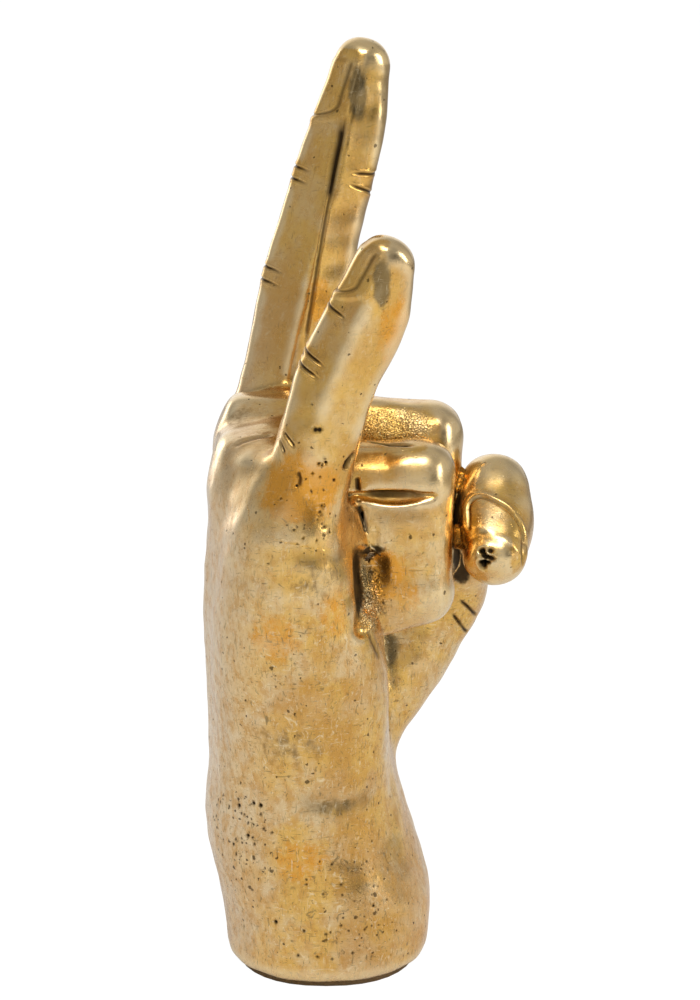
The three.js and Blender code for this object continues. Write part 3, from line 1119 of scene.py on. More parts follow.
@dataclass(frozen=True)
class Groove(Mark):
    """A line cut freely into the skin.

    Attributes:
        path: Points that the line passes.
        depth: Depth.
        width: Half width.
        lip: Height of its lips as a share of the depth.
        fade: Share of the length over which each end runs out.
        dirt: How dark it is.
    """

    path: tuple[Triple, ...]
    depth: float
    width: float
    lip: float = 0.2
    fade: float = 0.25
    dirt: float = 1.0

    REACH, MARGIN = 5.0, 1.5
    DIRT_GAIN = 1.5

    def press(self, skin: Skin, onto: Print) -> None:
        """Presses the line.

        Args:
            skin: The skin.
            onto: Takes what the mark does.
        """
        knots = np.asarray(self.path, np.float32)
        runs = np.linalg.norm(np.diff(knots, axis=0), axis=1)
        centre = (knots.min(0) + knots.max(0)) / 2
        reach = self.REACH * self.width + self.MARGIN
        places = skin.within(centre, float(np.linalg.norm(knots - centre, axis=1).max()) + reach)
        points = skin.points[:, places]
        best = np.full(len(places), np.inf, np.float32)
        share = np.zeros(len(places), np.float32)
        for i, run in enumerate(runs):
            way = (knots[i + 1] - knots[i]) / run
            along = np.clip(way @ (points - column(knots[i])), 0.0, run)
            away = length_of(points - column(knots[i]) - column(way) * along)
            closer = away < best
            best[closer] = away[closer]
            share[closer] = ((runs[:i].sum() + along) / runs.sum())[closer]
        hit = best < reach
        share = share[hit]
        fade = smooth_step(0.0, self.fade, share) * (1.0 - smooth_step(1.0 - self.fade, 1.0, share))
        dark = self.dirt * np.minimum(1.0, self.DIRT_GAIN * fade)
        cut_groove(self, onto, places[hit], best[hit], fade, dark)


@dataclass(frozen=True)
class Nail(Mark):
    """A nail with the fold of skin round it.

    Attributes:
        digit: The digit.
        start: How far from the end joint the nail grows out of its fold.
        length: Length to the free edge.
        half: Half width.
        groove: Depth of the groove round the plate.
        fold: Height of the fold.
        lift: Height of the plate at its free edge.
        slant: How much further along its border lies on the far side than in the middle.
    """

    digit: Digit
    start: float
    length: float
    half: float
    groove: float = 0.3
    fold: float = 0.3
    lift: float = 0.4
    slant: float = 0.0

    ROUND = 0.7
    BEHIND, BESIDE, AHEAD = 6.0, 5.0, 3.0
    GROOVE_WIDTH = 0.36
    FOLD_AT, FOLD_WIDTH = 1.3, 0.9
    PLATE_EDGE = 0.9
    TIP = (-1.6, 0.2)
    FACING = (-0.1, 0.25)
    DIRT, DIRT_WIDTH = 0.6, 0.4
    FINE = 3.0

    def press(self, skin: Skin, onto: Print) -> None:
        """Presses the nail.

        Args:
            skin: The skin.
            onto: Takes what the mark does.
        """
        places = skin.on(self.digit)
        bar = self.digit.bars[-1]
        across, palmward, along = bar.local(skin.points[:, places])
        facing = -(bar.axes[1] @ skin.normals[:, places])
        along = along - self.start - self.slant * across / self.half
        hit = (palmward < 0) & (along > -self.BEHIND) & (np.abs(across) < self.half + self.BESIDE)
        places, across, along, facing = places[hit], across[hit], along[hit], facing[hit]
        corner = self.ROUND * self.half
        beside = np.abs(across) - (self.half - corner)
        below = corner - along
        round_edge = np.sqrt(np.maximum(beside, 0) ** 2 + np.maximum(below, 0) ** 2) - corner
        edge = np.where((beside < 0) & (below < 0), np.maximum(beside, below) - corner, round_edge)
        rim = 1.0 - smooth_step(*(self.length + way for way in self.TIP), along)
        rim = rim * smooth_step(*self.FACING, facing)
        plate = self.lift * np.clip(along / self.length, 0.0, 1.0) * smooth_step(0.0, self.PLATE_EDGE, -edge)
        rise = plate - self.groove * bell(edge, self.GROOVE_WIDTH)
        rise = rise + self.fold * bell(edge - self.FOLD_AT, self.FOLD_WIDTH)
        dirt = self.DIRT * bell(edge, self.DIRT_WIDTH) * rim
        onto.add(places, rise * rim, dirt, (np.abs(edge) < self.FINE) & (along < self.length + self.AHEAD))


@dataclass(frozen=True)
class Pits(Mark):
    """Casting pits scattered in one place.

    Attributes:
        centre: Middle of the place.
        radius: Reach of the place.
        count: Number of pits.
        size: Smallest and largest radius of a pit.
        seed: Seed of the scatter.
        depth: Depth of a pit as a share of its radius.
    """

    centre: Triple
    radius: float
    count: int
    size: tuple[float, float]
    seed: int
    depth: float = 0.9

    BEYOND = 2.0
    SQUEEZE = 0.35
    REACH, FINE = 3.0, 2.2
    DIRT_GAIN = 1.3

    def press(self, skin: Skin, onto: Print) -> None:
        """Presses the pits.

        Args:
            skin: The skin.
            onto: Takes what the mark does.
        """
        dice = np.random.default_rng(self.seed)
        zone = skin.within(self.centre, self.radius + self.BEYOND)
        if not len(zone):
            return
        points = skin.points[:, zone]
        for _ in range(self.count):
            way = dice.normal(size=3)
            way = way / np.linalg.norm(way)
            spot = np.asarray(self.centre) + way * self.radius * math.sqrt(dice.random())
            size = self.size[0] + (self.size[1] - self.size[0]) * dice.random() ** 2
            bent = unit(dice.normal(size=3))
            spot = points[:, int(np.argmin(length_of(points - column(spot))))]
            apart = (points - column(spot)) * (1.0 + self.SQUEEZE * np.abs(column(bent)))
            away = length_of(apart) / size
            hit = away < self.REACH
            hole = np.exp(-away[hit] ** 3)
            dirt = np.minimum(1.0, self.DIRT_GAIN * hole)
            onto.add(zone[hit], -self.depth * size * hole, dirt, away[hit] < self.FINE)


@dataclass(frozen=True)
class Grain(Mark):
    """Rough cast skin in one place.

    Attributes:
        centre: Middle of the place.
        reach: Half sizes of the place along the axes.
        rise: Height of the roughness.
        seed: Seed of the roughness.
    """

    centre: Triple
    reach: Triple
    rise: float
    seed: int

    EDGE = (0.55, 1.0)
    BEYOND = 1.2
    DIRT, MOST_DIRT = 0.6, 0.8
    LEAST = 0.05

    def press(self, skin: Skin, onto: Print) -> None:
        """Presses the roughness.

        Args:
            skin: The skin.
            onto: Takes what the mark does.
        """
        places = skin.within(self.centre, max(self.reach) * self.BEYOND)
        apart = (skin.points[:, places] - column(self.centre)) / column(self.reach)
        share = 1.0 - smooth_step(*self.EDGE, length_of(apart))
        dice = np.random.default_rng(self.seed)
        noise = dice.normal(size=len(places)).astype(np.float32)
        dirt = np.clip(-self.DIRT * noise, 0.0, self.MOST_DIRT) * share
        onto.add(places, self.rise * noise * share, dirt, share > self.LEAST)


@dataclass(frozen=True)
class Patch(Mark):
    """A place where the metal has another colour: real stains, raw skin and grime, and also painted shade.

    Attributes:
        tint: How it differs.
        centre: Middle of the place.
        reach: Half sizes of the place along the axes.
        share: How strongly it shows.
    """

    tint: Tint
    centre: Triple
    reach: Triple
    share: float = 1.0

    EDGE = (0.4, 1.4)
    BEYOND = 1.5

    def press(self, skin: Skin, onto: Print) -> None:
        """Colours the place.

        Args:
            skin: The skin.
            onto: Takes what the mark does.
        """
        places = skin.within(self.centre, max(self.reach) * self.BEYOND)
        apart = (skin.points[:, places] - column(self.centre)) / column(self.reach)
        strength = self.share * (1.0 - smooth_step(*self.EDGE, length_of(apart)))
        onto.tint[self.tint][places] = np.maximum(onto.tint[self.tint][places], strength)


@dataclass(frozen=True)
class Waves(Mark):
    """The unevenness that hand filing and polishing leave all over.

    Attributes:
        rise: Height of the waves.
        lengths: Shortest and longest wave.
        count: Number of waves laid over each other.
        seed: Seed of their directions.
    """

    rise: float
    lengths: tuple[float, float]
    count: int
    seed: int

    def press(self, skin: Skin, onto: Print) -> None:
        """Presses the waves.

        Args:
            skin: The skin.
            onto: Takes what the mark does.
        """
        dice = np.random.default_rng(self.seed)
        total = np.zeros(skin.points.shape[1], np.float32)
        for _ in range(self.count):
            way = unit(dice.normal(size=3))
            span = self.lengths[0] * (self.lengths[1] / self.lengths[0]) ** dice.random()
            total += np.sin((2 * math.pi / span) * (way @ skin.points) + 2 * math.pi * dice.random())
        onto.rise += self.rise * math.sqrt(2.0 / self.count) * total


PALM_HEIGHT = 141.0
KNUCKLE_PITCH = 19.8
FIST_DEPTH = 43.5

WRIST = WristLoft(tuple(WristSection(*row) for row in (
    (0.0, -0.5, 0.0, 27.4, 33.6, 2.3),
    (4.0, -0.1, 0.0, 28.0, 34.6, 2.3),
    (11.5, 0.1, 0.0, 28.8, 35.0, 2.3),
    (21.0, -1.4, 0.0, 29.4, 34.6, 2.3),
    (31.0, -4.6, 0.0, 28.7, 33.6, 2.3),
    (41.0, -6.6, 0.0, 28.0, 32.8, 2.3),
    (54.0, -7.6, 0.0, 25.0, 33.0, 2.4),
    (69.0, -9.4, 0.0, 22.6, 35.0, 2.5),
    (86.0, -10.4, 0.0, 22.2, 38.2, 2.5),
    (100.0, -12.0, 0.0, 20.8, 40.2, 2.45),
    (114.0, -11.4, 0.0, 20.0, 40.6, 2.4),
    (126.0, -11.6, 0.5, 18.8, 39.8, 2.35),
    (135.0, -12.8, 1.5, 16.8, 37.0, 2.35),
    (141.0, -15.2, 3.0, 13.0, 31.5, 2.35),
)))

THUMB_KNUCKLE = (FIST_DEPTH - 11.5, 1.3 * KNUCKLE_PITCH, PALM_HEIGHT - 46.5)

PADS = (
    level_bar((-3.0, -14.0, 48.5), (-4.5, -24.0, 110.5),
              (16.0, 14.5, 16.0), (20.0, 20.0, 16.5), (16.0, 11.8, 15.5)),
    level_bar((0.5, 20.0, 48.5), THUMB_KNUCKLE, (13.0, 10.5, 14.0), (25.0, 14.0, 14.0), (12.5, 10.5, 10.4)),
    level_bar((-14.0, 16.0, 62.0), (-15.5, 29.0, 138.0),
              (12.5, 10.0, 8.5), (14.6, 10.0, 9.5), (14.0, 10.0, 10.0)),
    level_bar((-15.0, 5.0, 62.0), (-18.5, 10.0, 136.0),
              (13.0, 10.0, 8.5), (14.2, 10.0, 9.0), (10.4, 10.0, 9.5)),
    level_bar((-14.5, -6.0, 62.0), (-18.5, -9.5, 129.0),
              (13.0, 10.0, 8.5), (13.8, 10.0, 9.0), (10.6, 10.0, 9.5)),
    level_bar((-12.0, -16.0, 62.0), (-10.5, -28.5, 126.0),
              (12.0, 10.0, 9.5), (12.2, 10.0, 10.5), (10.0, 10.0, 11.0)),
    level_bar((-18.0, -2.0, 141.5), (-6.0, -1.0, 143.0), (4.5, 5.0, 8.0), (5.0, 5.0, 9.0), (5.0, 5.0, 8.0)),
    level_bar((2.0, -20.0, 126.0), (4.0, -17.0, 117.0), (5.0, 5.0, 5.0), (5.0, 5.0, 5.0), (5.0, 5.0, 5.0)),
    level_bar((3.0, -13.0, 120.0), (5.0, -13.0, 98.0), (6.0, 6.0, 6.0), (6.0, 6.0, 6.0), (6.0, 6.0, 6.0)),
)

INDEX = finger(
    "index_finger", (-13.5, 1.5 * KNUCKLE_PITCH, PALM_HEIGHT + 3.5), 4.0,
    (38.0, 29.0, 32.0), (12.5, 2.0, -1.0),
    ((13.2, 12.5, 11.5), (13.0, 11.8, 10.8), (13.2, 11.2, 11.0), (12.4, 10.6, 10.2), (12.0, 10.2, 10.0),
     (10.4, 10.6, 9.6), (7.6, 7.2, 7.8)),
    root=24.0, root_round=20.0, seam=8.0, swept=True,
    facets=(Facet(0, -118.0, 10.4, 7.4, 1.2), Facet(0, -66.0, 10.4, 7.2, 1.2)),
)
MIDDLE = finger(
    "middle_finger", (-17.5, 0.5 * KNUCKLE_PITCH, PALM_HEIGHT + 1.5), 0.0,
    (FIST_DEPTH, 28.5, 15.0), (92.0, 87.0, 84.0),
    ((11.2, 11.0, 10.8), (12.0, 10.4, 10.4), (10.6, 9.6, 10.6), (10.2, 12.5, 10.3), (9.8, 9.4, 10.0),
     (9.0, 9.4, 9.4), (7.2, 7.6, 7.8)),
    root=6.0, root_round=5.5, seam=16.0, square=2.6, joint_blend=1.8,
    facets=(Facet(0, -122.0, 10.8, 10.6, 1.0),),
)
RING = finger(
    "ring_finger", (-18.0, -0.5 * KNUCKLE_PITCH, PALM_HEIGHT - 5.7), 0.0,
    (FIST_DEPTH - 2.0, 29.5, 14.0), (91.0, 89.0, 65.0),
    ((11.0, 11.0, 10.6), (10.4, 10.2, 10.2), (10.0, 10.4, 10.4), (10.0, 12.5, 10.1), (10.0, 9.4, 9.8),
     (9.4, 9.4, 9.2), (7.4, 7.6, 7.6)),
    root=6.0, root_round=6.0, seam=16.0, square=2.6, joint_blend=1.8,
    facets=(Facet(0, -124.0, 10.6, 10.2, 1.0),),
    flesh=(
        level_bar((8.0, -12.0, 124.0), (20.0, -11.0, 122.0),
                  (8.0, 6.5, 8.0), (9.0, 7.0, 9.0), (9.0, 7.0, 9.0)),
        level_bar((10.0, -10.0, 118.0), (12.0, -10.0, 101.0),
                  (9.0, 6.0, 9.0), (9.0, 6.0, 9.0), (9.0, 6.0, 9.0)),
    ),
)
LITTLE = finger(
    "little_finger", (-7.0, -1.5 * KNUCKLE_PITCH, PALM_HEIGHT - 9.5), -5.0,
    (36.0, 19.0, 13.8), (15.0, 8.5, -6.0),
    ((11.0, 11.0, 10.0), (10.8, 10.8, 9.6), (10.6, 10.4, 9.6), (10.2, 11.2, 9.2), (9.6, 11.6, 9.0),
     (8.4, 11.0, 8.4), (6.2, 8.2, 6.8)),
    root=16.0, root_round=11.0, seam=-6.0, swept=True,
    facets=(Facet(0, -122.0, 11.8, 6.5, 1.6), Facet(0, -70.0, 10.8, 6.6, 1.6)),
)
THUMB = Digit(
    "thumb",
    (THUMB_KNUCKLE, (FIST_DEPTH + 1.8, 0.33 * KNUCKLE_PITCH, PALM_HEIGHT - 14.3),
     (FIST_DEPTH + 1.5, -0.43 * KNUCKLE_PITCH, PALM_HEIGHT - 27.0)), (1.0, 0.0, 0.0),
    sections((12.0, 12.0, 9.6), (10.8, 10.8, 8.8), (10.8, 10.0, 9.2), (9.8, 9.8, 10.8), (8.2, 8.6, 8.6)),
    root=0.0, root_round=11.5, seam=2.0, melt=(12.0, 26.0),
)

CARVINGS = (
    (level_bar((8.0, -21.8, 132.6), (26.0, -21.8, 132.6),
               (1.0, 1.8, 3.6), (1.3, 3.0, 4.4), (0.9, 1.8, 3.0), start_reach=8.0, end_reach=4.5), 0.6),
    (level_bar((9.5, -26.0, 113.0), (10.5, -28.2, 105.5),
               (9.0, 2.5, 8.6), (9.5, 2.5, 9.0), (8.5, 2.5, 7.4), end_reach=4.0, start_reach=6.0), 1.6),
    (level_bar((12.2, -30.0, 132.0), (12.2, -30.0, 118.0),
               (4.0, 3.2, 9.7), (4.0, 3.2, 9.7), (4.0, 3.2, 10.0), end_reach=3.0, start_reach=3.0), 0.8),
    (level_bar((12.2, -30.0, 118.0), (10.5, -35.5, 100.0),
               (4.0, 3.2, 10.0), (4.5, 3.4, 11.5), (4.2, 3.4, 6.0), end_reach=3.0, start_reach=3.0), 1.2),
)

HAND = HandForm(WRIST, PADS, (INDEX, MIDDLE, RING, LITTLE, THUMB), CARVINGS)

PATCHES = {
    Tint.STAIN: (
        ((-7.0, -40.0, 138.5), (12.0, 9.0, 10.0)),
        ((-13.5, -41.0, 98.6), (9.0, 6.0, 8.0), 0.6),
        ((2.1, -38.6, 105.5), (5.0, 6.0, 10.0), 0.55),
        ((-7.4, -33.4, 34.9), (9.0, 6.0, 7.0), 0.6),
        ((15.5, -18.0, 110.5), (6.0, 6.0, 8.5)),
        ((21.0, -18.5, 106.0), (6.0, 6.0, 7.0), 0.55),
        ((37.6, -13.2, 112.2), (3.5, 4.0, 4.0), 0.8),
        # Stain on the little finger's right side, also painted shade darkening that side.
        ((17.5, -38.2, 177.2), (5.0, 7.0, 14.0), 0.7),
        ((-2.3, 23.6, 177.6), (4.0, 5.0, 8.0), 0.8),
    ),
    # Painted shade and painted dark reflections: in the recess, beside the ball, on the little finger's side
    # below its root, under the hypothenar, along the heel's fold, on a knuckle facet and on the index and
    # little fingertips.
    Tint.SHADE: (
        ((9.8, -20.5, 109.0), (3.2, 6.0, 8.0), 0.75),
        ((16.0, 9.8, 82.0), (4.0, 5.0, 7.0), 0.9),
        ((8.2, 28.1, 233.3), (2.6, 4.0, 8.0)),
        ((14.1, -41.8, 192.4), (2.4, 5.0, 7.0)),
        ((-1.8, -40.8, 114.0), (10.0, 6.0, 6.0), 0.4),
        ((-11.1, -36.4, 68.6), (14.0, 6.0, 7.0), 0.4),
        ((2.0, -33.5, 50.2), (9.0, 5.0, 2.5), 0.55),
        ((-24.7, -0.1, 149.2), (5.0, 6.0, 5.0), 0.4),
    ),
    Tint.RAW: (
        ((-2.3, 23.6, 175.6), (4.0, 5.0, 7.0), 0.6),
        ((-24.0, -26.0, 38.0), (12.0, 12.0, 20.0), 0.8),
        ((6.0, -32.0, 22.0), (18.0, 8.0, 16.0), 0.5),
        ((11.0, -19.0, 104.0), (6.0, 7.0, 9.0)),
        ((-3.0, -40.0, 128.0), (9.0, 6.0, 12.0), 0.4),
    ),
    # Grime and painted shade: the gap beside the thumb, and the recess's left and upper edges under the
    # ring's fold.
    Tint.GRIME: (
        ((34.4, 0.0, 124.0), (2.2, 7.0, 8.0)),
        ((35.9, 4.1, 110.9), (2.6, 6.0, 6.0)),
        ((36.8, 7.2, 104.5), (2.6, 6.0, 5.0)),
        ((7.4, -24.0, 109.0), (2.0, 9.0, 12.0)),
        ((11.5, -19.0, 117.5), (4.5, 4.0, 1.6), 0.9),
    ),
}

MARKS: tuple[Mark, ...] = (
    Waves(0.10, (7.0, 24.0), 24, 5),
    Nail(INDEX, 16.0, 17.0, 6.6),
    Crease(INDEX, 2, 1.4, 178.0, 44.0, slant=-0.8),
    Crease(INDEX, 2, -2.0, 178.0, 44.0, slant=-0.8),
    Crease(INDEX, 1, 1.5, 178.0, 46.0, slant=-0.9),
    Crease(INDEX, 1, -2.2, 178.0, 46.0, slant=-0.9),
    Crease(INDEX, 2, 4.0, -22.0, 46.0, 0.3, slant=1.2),
    Crease(INDEX, 2, -0.8, -22.0, 46.0, 0.3, slant=-0.8),
    # The index's ridge grooves: their dark line is a painted reflection of the dark room along the ridge.
    Groove(((4.9, 27.7, 229.3), (3.8, 27.3, 225.2), (2.7, 26.6, 219.8), (1.6, 26.0, 214.4),
            (0.5, 25.1, 207.7), (-0.8, 24.4, 200.9)), 0.9, 1.2, 0.1, 0.35),
    Groove(((4.9, 27.6, 228.7), (1.6, 25.7, 212.6), (-0.3, 24.6, 202.8), (-2.5, 23.5, 190.0),
            (-4.4, 22.6, 177.7), (-6.4, 21.6, 165.3)), 0.3, 0.5, 0.2, 0.1, 0.8),
    Nail(LITTLE, 4.0, 13.5, 5.4),
    Crease(LITTLE, 2, -0.4, -165.0, 45.0, slant=-1.2),
    Crease(LITTLE, 1, 4.3, -165.0, 48.0, 0.5, slant=-0.9),
    Crease(LITTLE, 1, 0.7, -165.0, 48.0, 0.5, slant=-0.7),
    Groove(((-11.3, -36.6, 153.2), (-9.7, -38.4, 151.3), (-8.1, -39.6, 149.3)), 0.55, 0.42),
    Groove(((-13.0, -35.4, 151.6), (-11.8, -37.0, 149.6), (-10.7, -38.1, 147.4)), 0.5, 0.4),
    Pits((-2.4, -41.0, 154.3), 1.2, 2, (0.7, 1.0), 3, 0.3),
    Groove(((-7.4, -39.9, 143.6), (-6.8, -40.0, 141.5), (-7.1, -39.9, 139.1)), 0.6, 0.45, 0.1),
    Groove(((7.2, -35.5, 147.6), (5.5, -37.3, 144.9), (4.7, -37.5, 142.6)), 1.3, 0.9, 0.0),
    Groove(((-10.0, -41.4, 122.0), (-6.4, -41.5, 120.7), (-2.0, -40.5, 119.7), (2.4, -37.7, 119.2),
            (6.0, -31.4, 120.6)), 0.22, 1.8, 0.0, 0.3, 0.35),
    Groove(((7.8, -19.8, 137.8), (8.1, -20.1, 133.8), (8.4, -20.0, 129.8)), 0.8, 0.6, 0.0, 0.2),
    Groove(((-24.8, -19.5, 144.8), (-22.8, -18.4, 146.2), (-20.4, -17.9, 146.9), (-17.3, -16.8, 147.5),
            (-14.1, -15.5, 147.7)), 0.35, 0.8, 0.2, 0.2, 0.4),
    Nail(THUMB, 10.4, 11.0, 7.2, slant=4.2, fold=0.45),
    Groove(((36.0, 11.4, 95.9), (36.8, 12.0, 94.9), (38.9, 13.9, 92.7), (40.7, 17.3, 90.0),
            (42.5, 21.0, 88.0)), 0.5, 0.42),
    Groove(((34.0, 12.4, 91.8), (34.7, 12.9, 90.7), (36.4, 14.4, 88.2), (38.2, 17.4, 85.1),
            (40.0, 21.0, 83.0)), 0.5, 0.42),
    Pits((42.3, -16.4, 114.0), 3.0, 6, (0.7, 1.3), 8, 0.8),
    Pits((42.0, -16.8, 115.2), 2.4, 6, (0.7, 1.2), 31, 0.8),
    Pits((-2.0, -40.0, 141.0), 7.5, 12, (0.25, 0.5), 11),
    Pits((-2.0, -40.5, 127.0), 8.0, 12, (0.25, 0.5), 12),
    Pits((-22.0, -29.0, 42.0), 13.0, 20, (0.15, 0.6), 13, 0.7),
    Pits((2.0, -33.0, 24.0), 20.0, 18, (0.2, 0.65), 14, 0.7),
    Grain((17.0, 0.0, 146.5), (14.0, 8.0, 7.0), 0.07, 21),
    Grain((10.5, -17.5, 106.0), (5.0, 6.0, 8.0), 0.12, 22),
    Grain((11.5, -24.0, 102.0), (7.0, 8.0, 7.0), 0.18, 23),
    Groove(((-13.7, -31.0, 148.0), (-16.8, -32.9, 142.1), (-20.4, -35.5, 132.6), (-24.7, -34.8, 122.5),
            (-29.0, -29.1, 112.4)), -0.45, 3.2, 0.0, 0.3, 0.0),
    # Dark line along the hypothenar's edge where it meets the ball: painted shade.
    Groove(((10.2, -30.4, 99.7), (11.8, -29.2, 95.3), (14.0, -26.8, 89.1)), 0.4, 0.8, 0.1, 0.3, 0.6),
    Groove(((8.1, -20.0, 130.3), (8.9, -20.1, 127.9), (9.7, -20.4, 125.2), (10.5, -20.6, 121.7)),
           0.5, 0.6, 0.0, 0.2),
    # The heel's fold: its darkening is painted shade below the bulge.
    Groove(((-9.9, -34.2, 52.6), (-6.0, -34.4, 51.8), (-2.0, -34.1, 50.3), (3.3, -32.9, 49.3),
            (8.7, -30.2, 50.4), (13.5, -25.0, 51.7)), 0.35, 2.2, 0.0, 0.3, 0.3),
    Groove(((9.5, -9.2, 145.1), (16.6, -13.5, 144.6), (23.8, -14.9, 144.6)), 0.8, 0.7, 0.1, 0.3),
    *(Patch(tint, *row) for tint, rows in PATCHES.items() for row in rows),
)


PLATE = "base_plate"
SCREWS = ("base_screw_1", "base_screw_2", "base_screw_3")
DOWELS = {
    "index_dowel": INDEX,
    "middle_dowel": MIDDLE,
    "ring_dowel": RING,
    "little_dowel": LITTLE,
    "thumb_dowel": THUMB,
}
PALM = "hand_casting"
LET_IN = {name: (PALM,) for name in (PLATE, *SCREWS)}
LET_IN |= {pin: (PALM, digit.name) for pin, digit in DOWELS.items()}


@dataclass
class HandCasting:
    """The brass hand: one form, drawn as a mesh and sawn into the palm's casting and five digits.

    Attributes:
        form: The hand's form.
        marks: Creases, nails, pits and the like.
        grain: Size of the mesh's faces.
        swell: How far a saw's body goes beyond a digit's skin.
        saw_grain: Size of the faces of a saw's body.
        finer: How often the mesh is divided under the marks.
        hollow_rounds: How far round a point the skin is smoothed to tell hollows from ridges.
        clearance: Room around the pieces that are let into the castings.
    """

    form: HandForm = HAND
    marks: tuple[Mark, ...] = MARKS
    grain: float = 0.8
    swell: float = 4.0
    saw_grain: float = 1.4
    finer: int = 2
    hollow_rounds: int = 30
    clearance: float = 0.3

    ON_PLANE = 1e-4

    def build(self) -> dict[str, bpy.types.Object]:
        """Makes the castings.

        Returns:
            The castings by name, worked in millimetres from the foot.
        """
        blank = bmesh.new()
        self.form.wrist.add_blank(blank)
        for bar in (*self.form.pads, *(bar for digit in self.form.digits for bar in digit.bars)):
            bar.add_blank(blank, 0.0)
        whole = new_body(blank, "hand_casting_skin")
        Surface(self.form.distance).draw(whole, self.grain)
        self._press_marks(whole.data)
        return self._saw(whole)

    def _skin(self, mesh: bpy.types.Mesh) -> Skin:
        """Reads the form under a mesh's points."""
        points = read_points(mesh)
        _, slope = Surface(self.form.distance).probe(points)
        owner = np.argmin(self.form.members(points), axis=0)
        return Skin(points, slope / np.maximum(length_of(slope), TINY), owner, self.form)

    def _marked(self, mesh: bpy.types.Mesh) -> tuple[Skin, Print]:
        """Reads a mesh's skin and what the marks do to it."""
        skin = self._skin(mesh)
        marked = Print.blank(skin.points.shape[1])
        for mark in self.marks:
            mark.press(skin, marked)
        return skin, marked

    def _press_marks(self, mesh: bpy.types.Mesh) -> None:
        """Divides the mesh where it needs it, presses the marks and stores what the finish reads."""
        for _ in range(self.finer):
            divide(mesh, self._marked(mesh)[1].fine)
            write_points(mesh, Surface(self.form.distance).settle(read_points(mesh), 1))
        skin, marked = self._marked(mesh)
        points = skin.points + skin.normals * marked.rise
        write_points(mesh, points)
        sunk = Weave(mesh).spread(points, self.hollow_rounds) - points
        write_mask(mesh, "dirt", marked.dirt)
        # How deep each point lies in a hollow; the finish darkens hollows with it, partly as patina and
        # partly as painted shade, and paints ridges bright as a painted highlight.
        write_mask(mesh, "hollow", np.sum(sunk * skin.normals, axis=0))
        for tint, strength in marked.tint.items():
            write_mask(mesh, tint.value, strength)
        keep_normals(mesh)

    def _saw(self, whole: bpy.types.Object) -> dict[str, bpy.types.Object]:
        """Saws the digits from the palm and cuts the places of what is let in."""
        with reworked(whole.data) as shape:
            bmesh.ops.triangulate(shape, faces=shape.faces)
        made = {}
        for digit in self.form.digits:
            saw = self._saw_body(digit)
            piece = whole.copy()
            piece.data = whole.data.copy()
            piece.name = digit.name + "_skin"
            bpy.context.collection.objects.link(piece)
            combine(piece, saw, "INTERSECT")
            combine(whole, saw, "DIFFERENCE")
            bpy.data.objects.remove(saw)
            made[digit.name] = piece
        made[PALM] = whole
        for name, hosts in LET_IN.items():
            tool = swollen_copy(name, self.clearance)
            for host in hosts:
                combine(made[host], tool, "DIFFERENCE")
            bpy.data.objects.remove(tool)
        for piece in made.values():
            restore_normals(piece.data)
        return made

    def _saw_body(self, digit: Digit) -> bpy.types.Object:
        """Makes a body that holds everything belonging to one digit."""
        blank = bmesh.new()
        for bar in digit.bars:
            bar.add_blank(blank, self.swell)
        body = new_body(blank, "saw")
        Surface(self.form.territory(digit, self.swell)).draw(body, self.saw_grain, 1)
        point, along = digit.seam_plane
        with reworked(body.data) as shape:
            cut = bmesh.ops.bisect_plane(
                shape, geom=[*shape.verts, *shape.edges, *shape.faces], dist=self.ON_PLANE,
                plane_co=point.tolist(), plane_no=along.tolist(), clear_inner=True,
            )["geom_cut"]
            rim = [part for part in cut if isinstance(part, bmesh.types.BMEdge)]
            bmesh.ops.holes_fill(shape, edges=rim, sides=0)
            bmesh.ops.recalc_face_normals(shape, faces=shape.faces)
            bmesh.ops.triangulate(shape, faces=shape.faces)
        return body


FACING_LAYER = "facing"
LOST_BELOW = 0.5
LEAST_SUM = 1e-3


def keep_normals(mesh: bpy.types.Mesh) -> None:
    """Stores the way that each point faces, so that sawn pieces still shade as one skin.

    Args:
        mesh: The mesh before it is sawn.
    """
    mesh.shade_smooth()
    kept = mesh.attributes.new(FACING_LAYER, "FLOAT_VECTOR", "POINT")
    kept.data.foreach_set("vector", read_rows(mesh.vertex_normals, "vector", 3).ravel())


def restore_normals(mesh: bpy.types.Mesh) -> None:
    """Gives sawn skin the normals it had before.

    Args:
        mesh: The mesh of a sawn piece.
    """
    mesh.shade_smooth()
    kept = read_rows(mesh.attributes[FACING_LAYER].data, "vector", 3)
    own = read_rows(mesh.vertex_normals, "vector", 3)
    length = np.linalg.norm(kept, axis=1, keepdims=True)
    lost = length[:, 0] < LOST_BELOW
    normals = np.where(lost[:, None], 0.0, kept / np.maximum(length, TINY))
    ends = read_rows(mesh.edges, "vertices", 2, np.int32)
    near = np.zeros_like(normals)
    for here, there in ((0, 1), (1, 0)):
        across = lost[ends[:, here]] & ~lost[ends[:, there]]
        np.add.at(near, ends[across, here], normals[ends[across, there]])
    size = np.linalg.norm(near, axis=1, keepdims=True)
    filled = np.where(size > LEAST_SUM, near / np.maximum(size, TINY), own)
    normals = np.where(lost[:, None], filled, normals)
    mesh.normals_split_custom_set_from_vertices(normals.tolist())
    mesh.attributes.remove(mesh.attributes[FACING_LAYER])


def divide(mesh: bpy.types.Mesh, where: np.ndarray) -> None:
    """Halves the faces of a mesh in some places.

    Args:
        mesh: The mesh.
        where: Whether each point lies in such a place.
    """
    flags = where.tolist()
    with reworked(mesh) as shape:
        edges = [edge for edge in shape.edges if all(flags[vert.index] for vert in edge.verts)]
        bmesh.ops.subdivide_edges(shape, edges=edges, cuts=1, use_grid_fill=True)


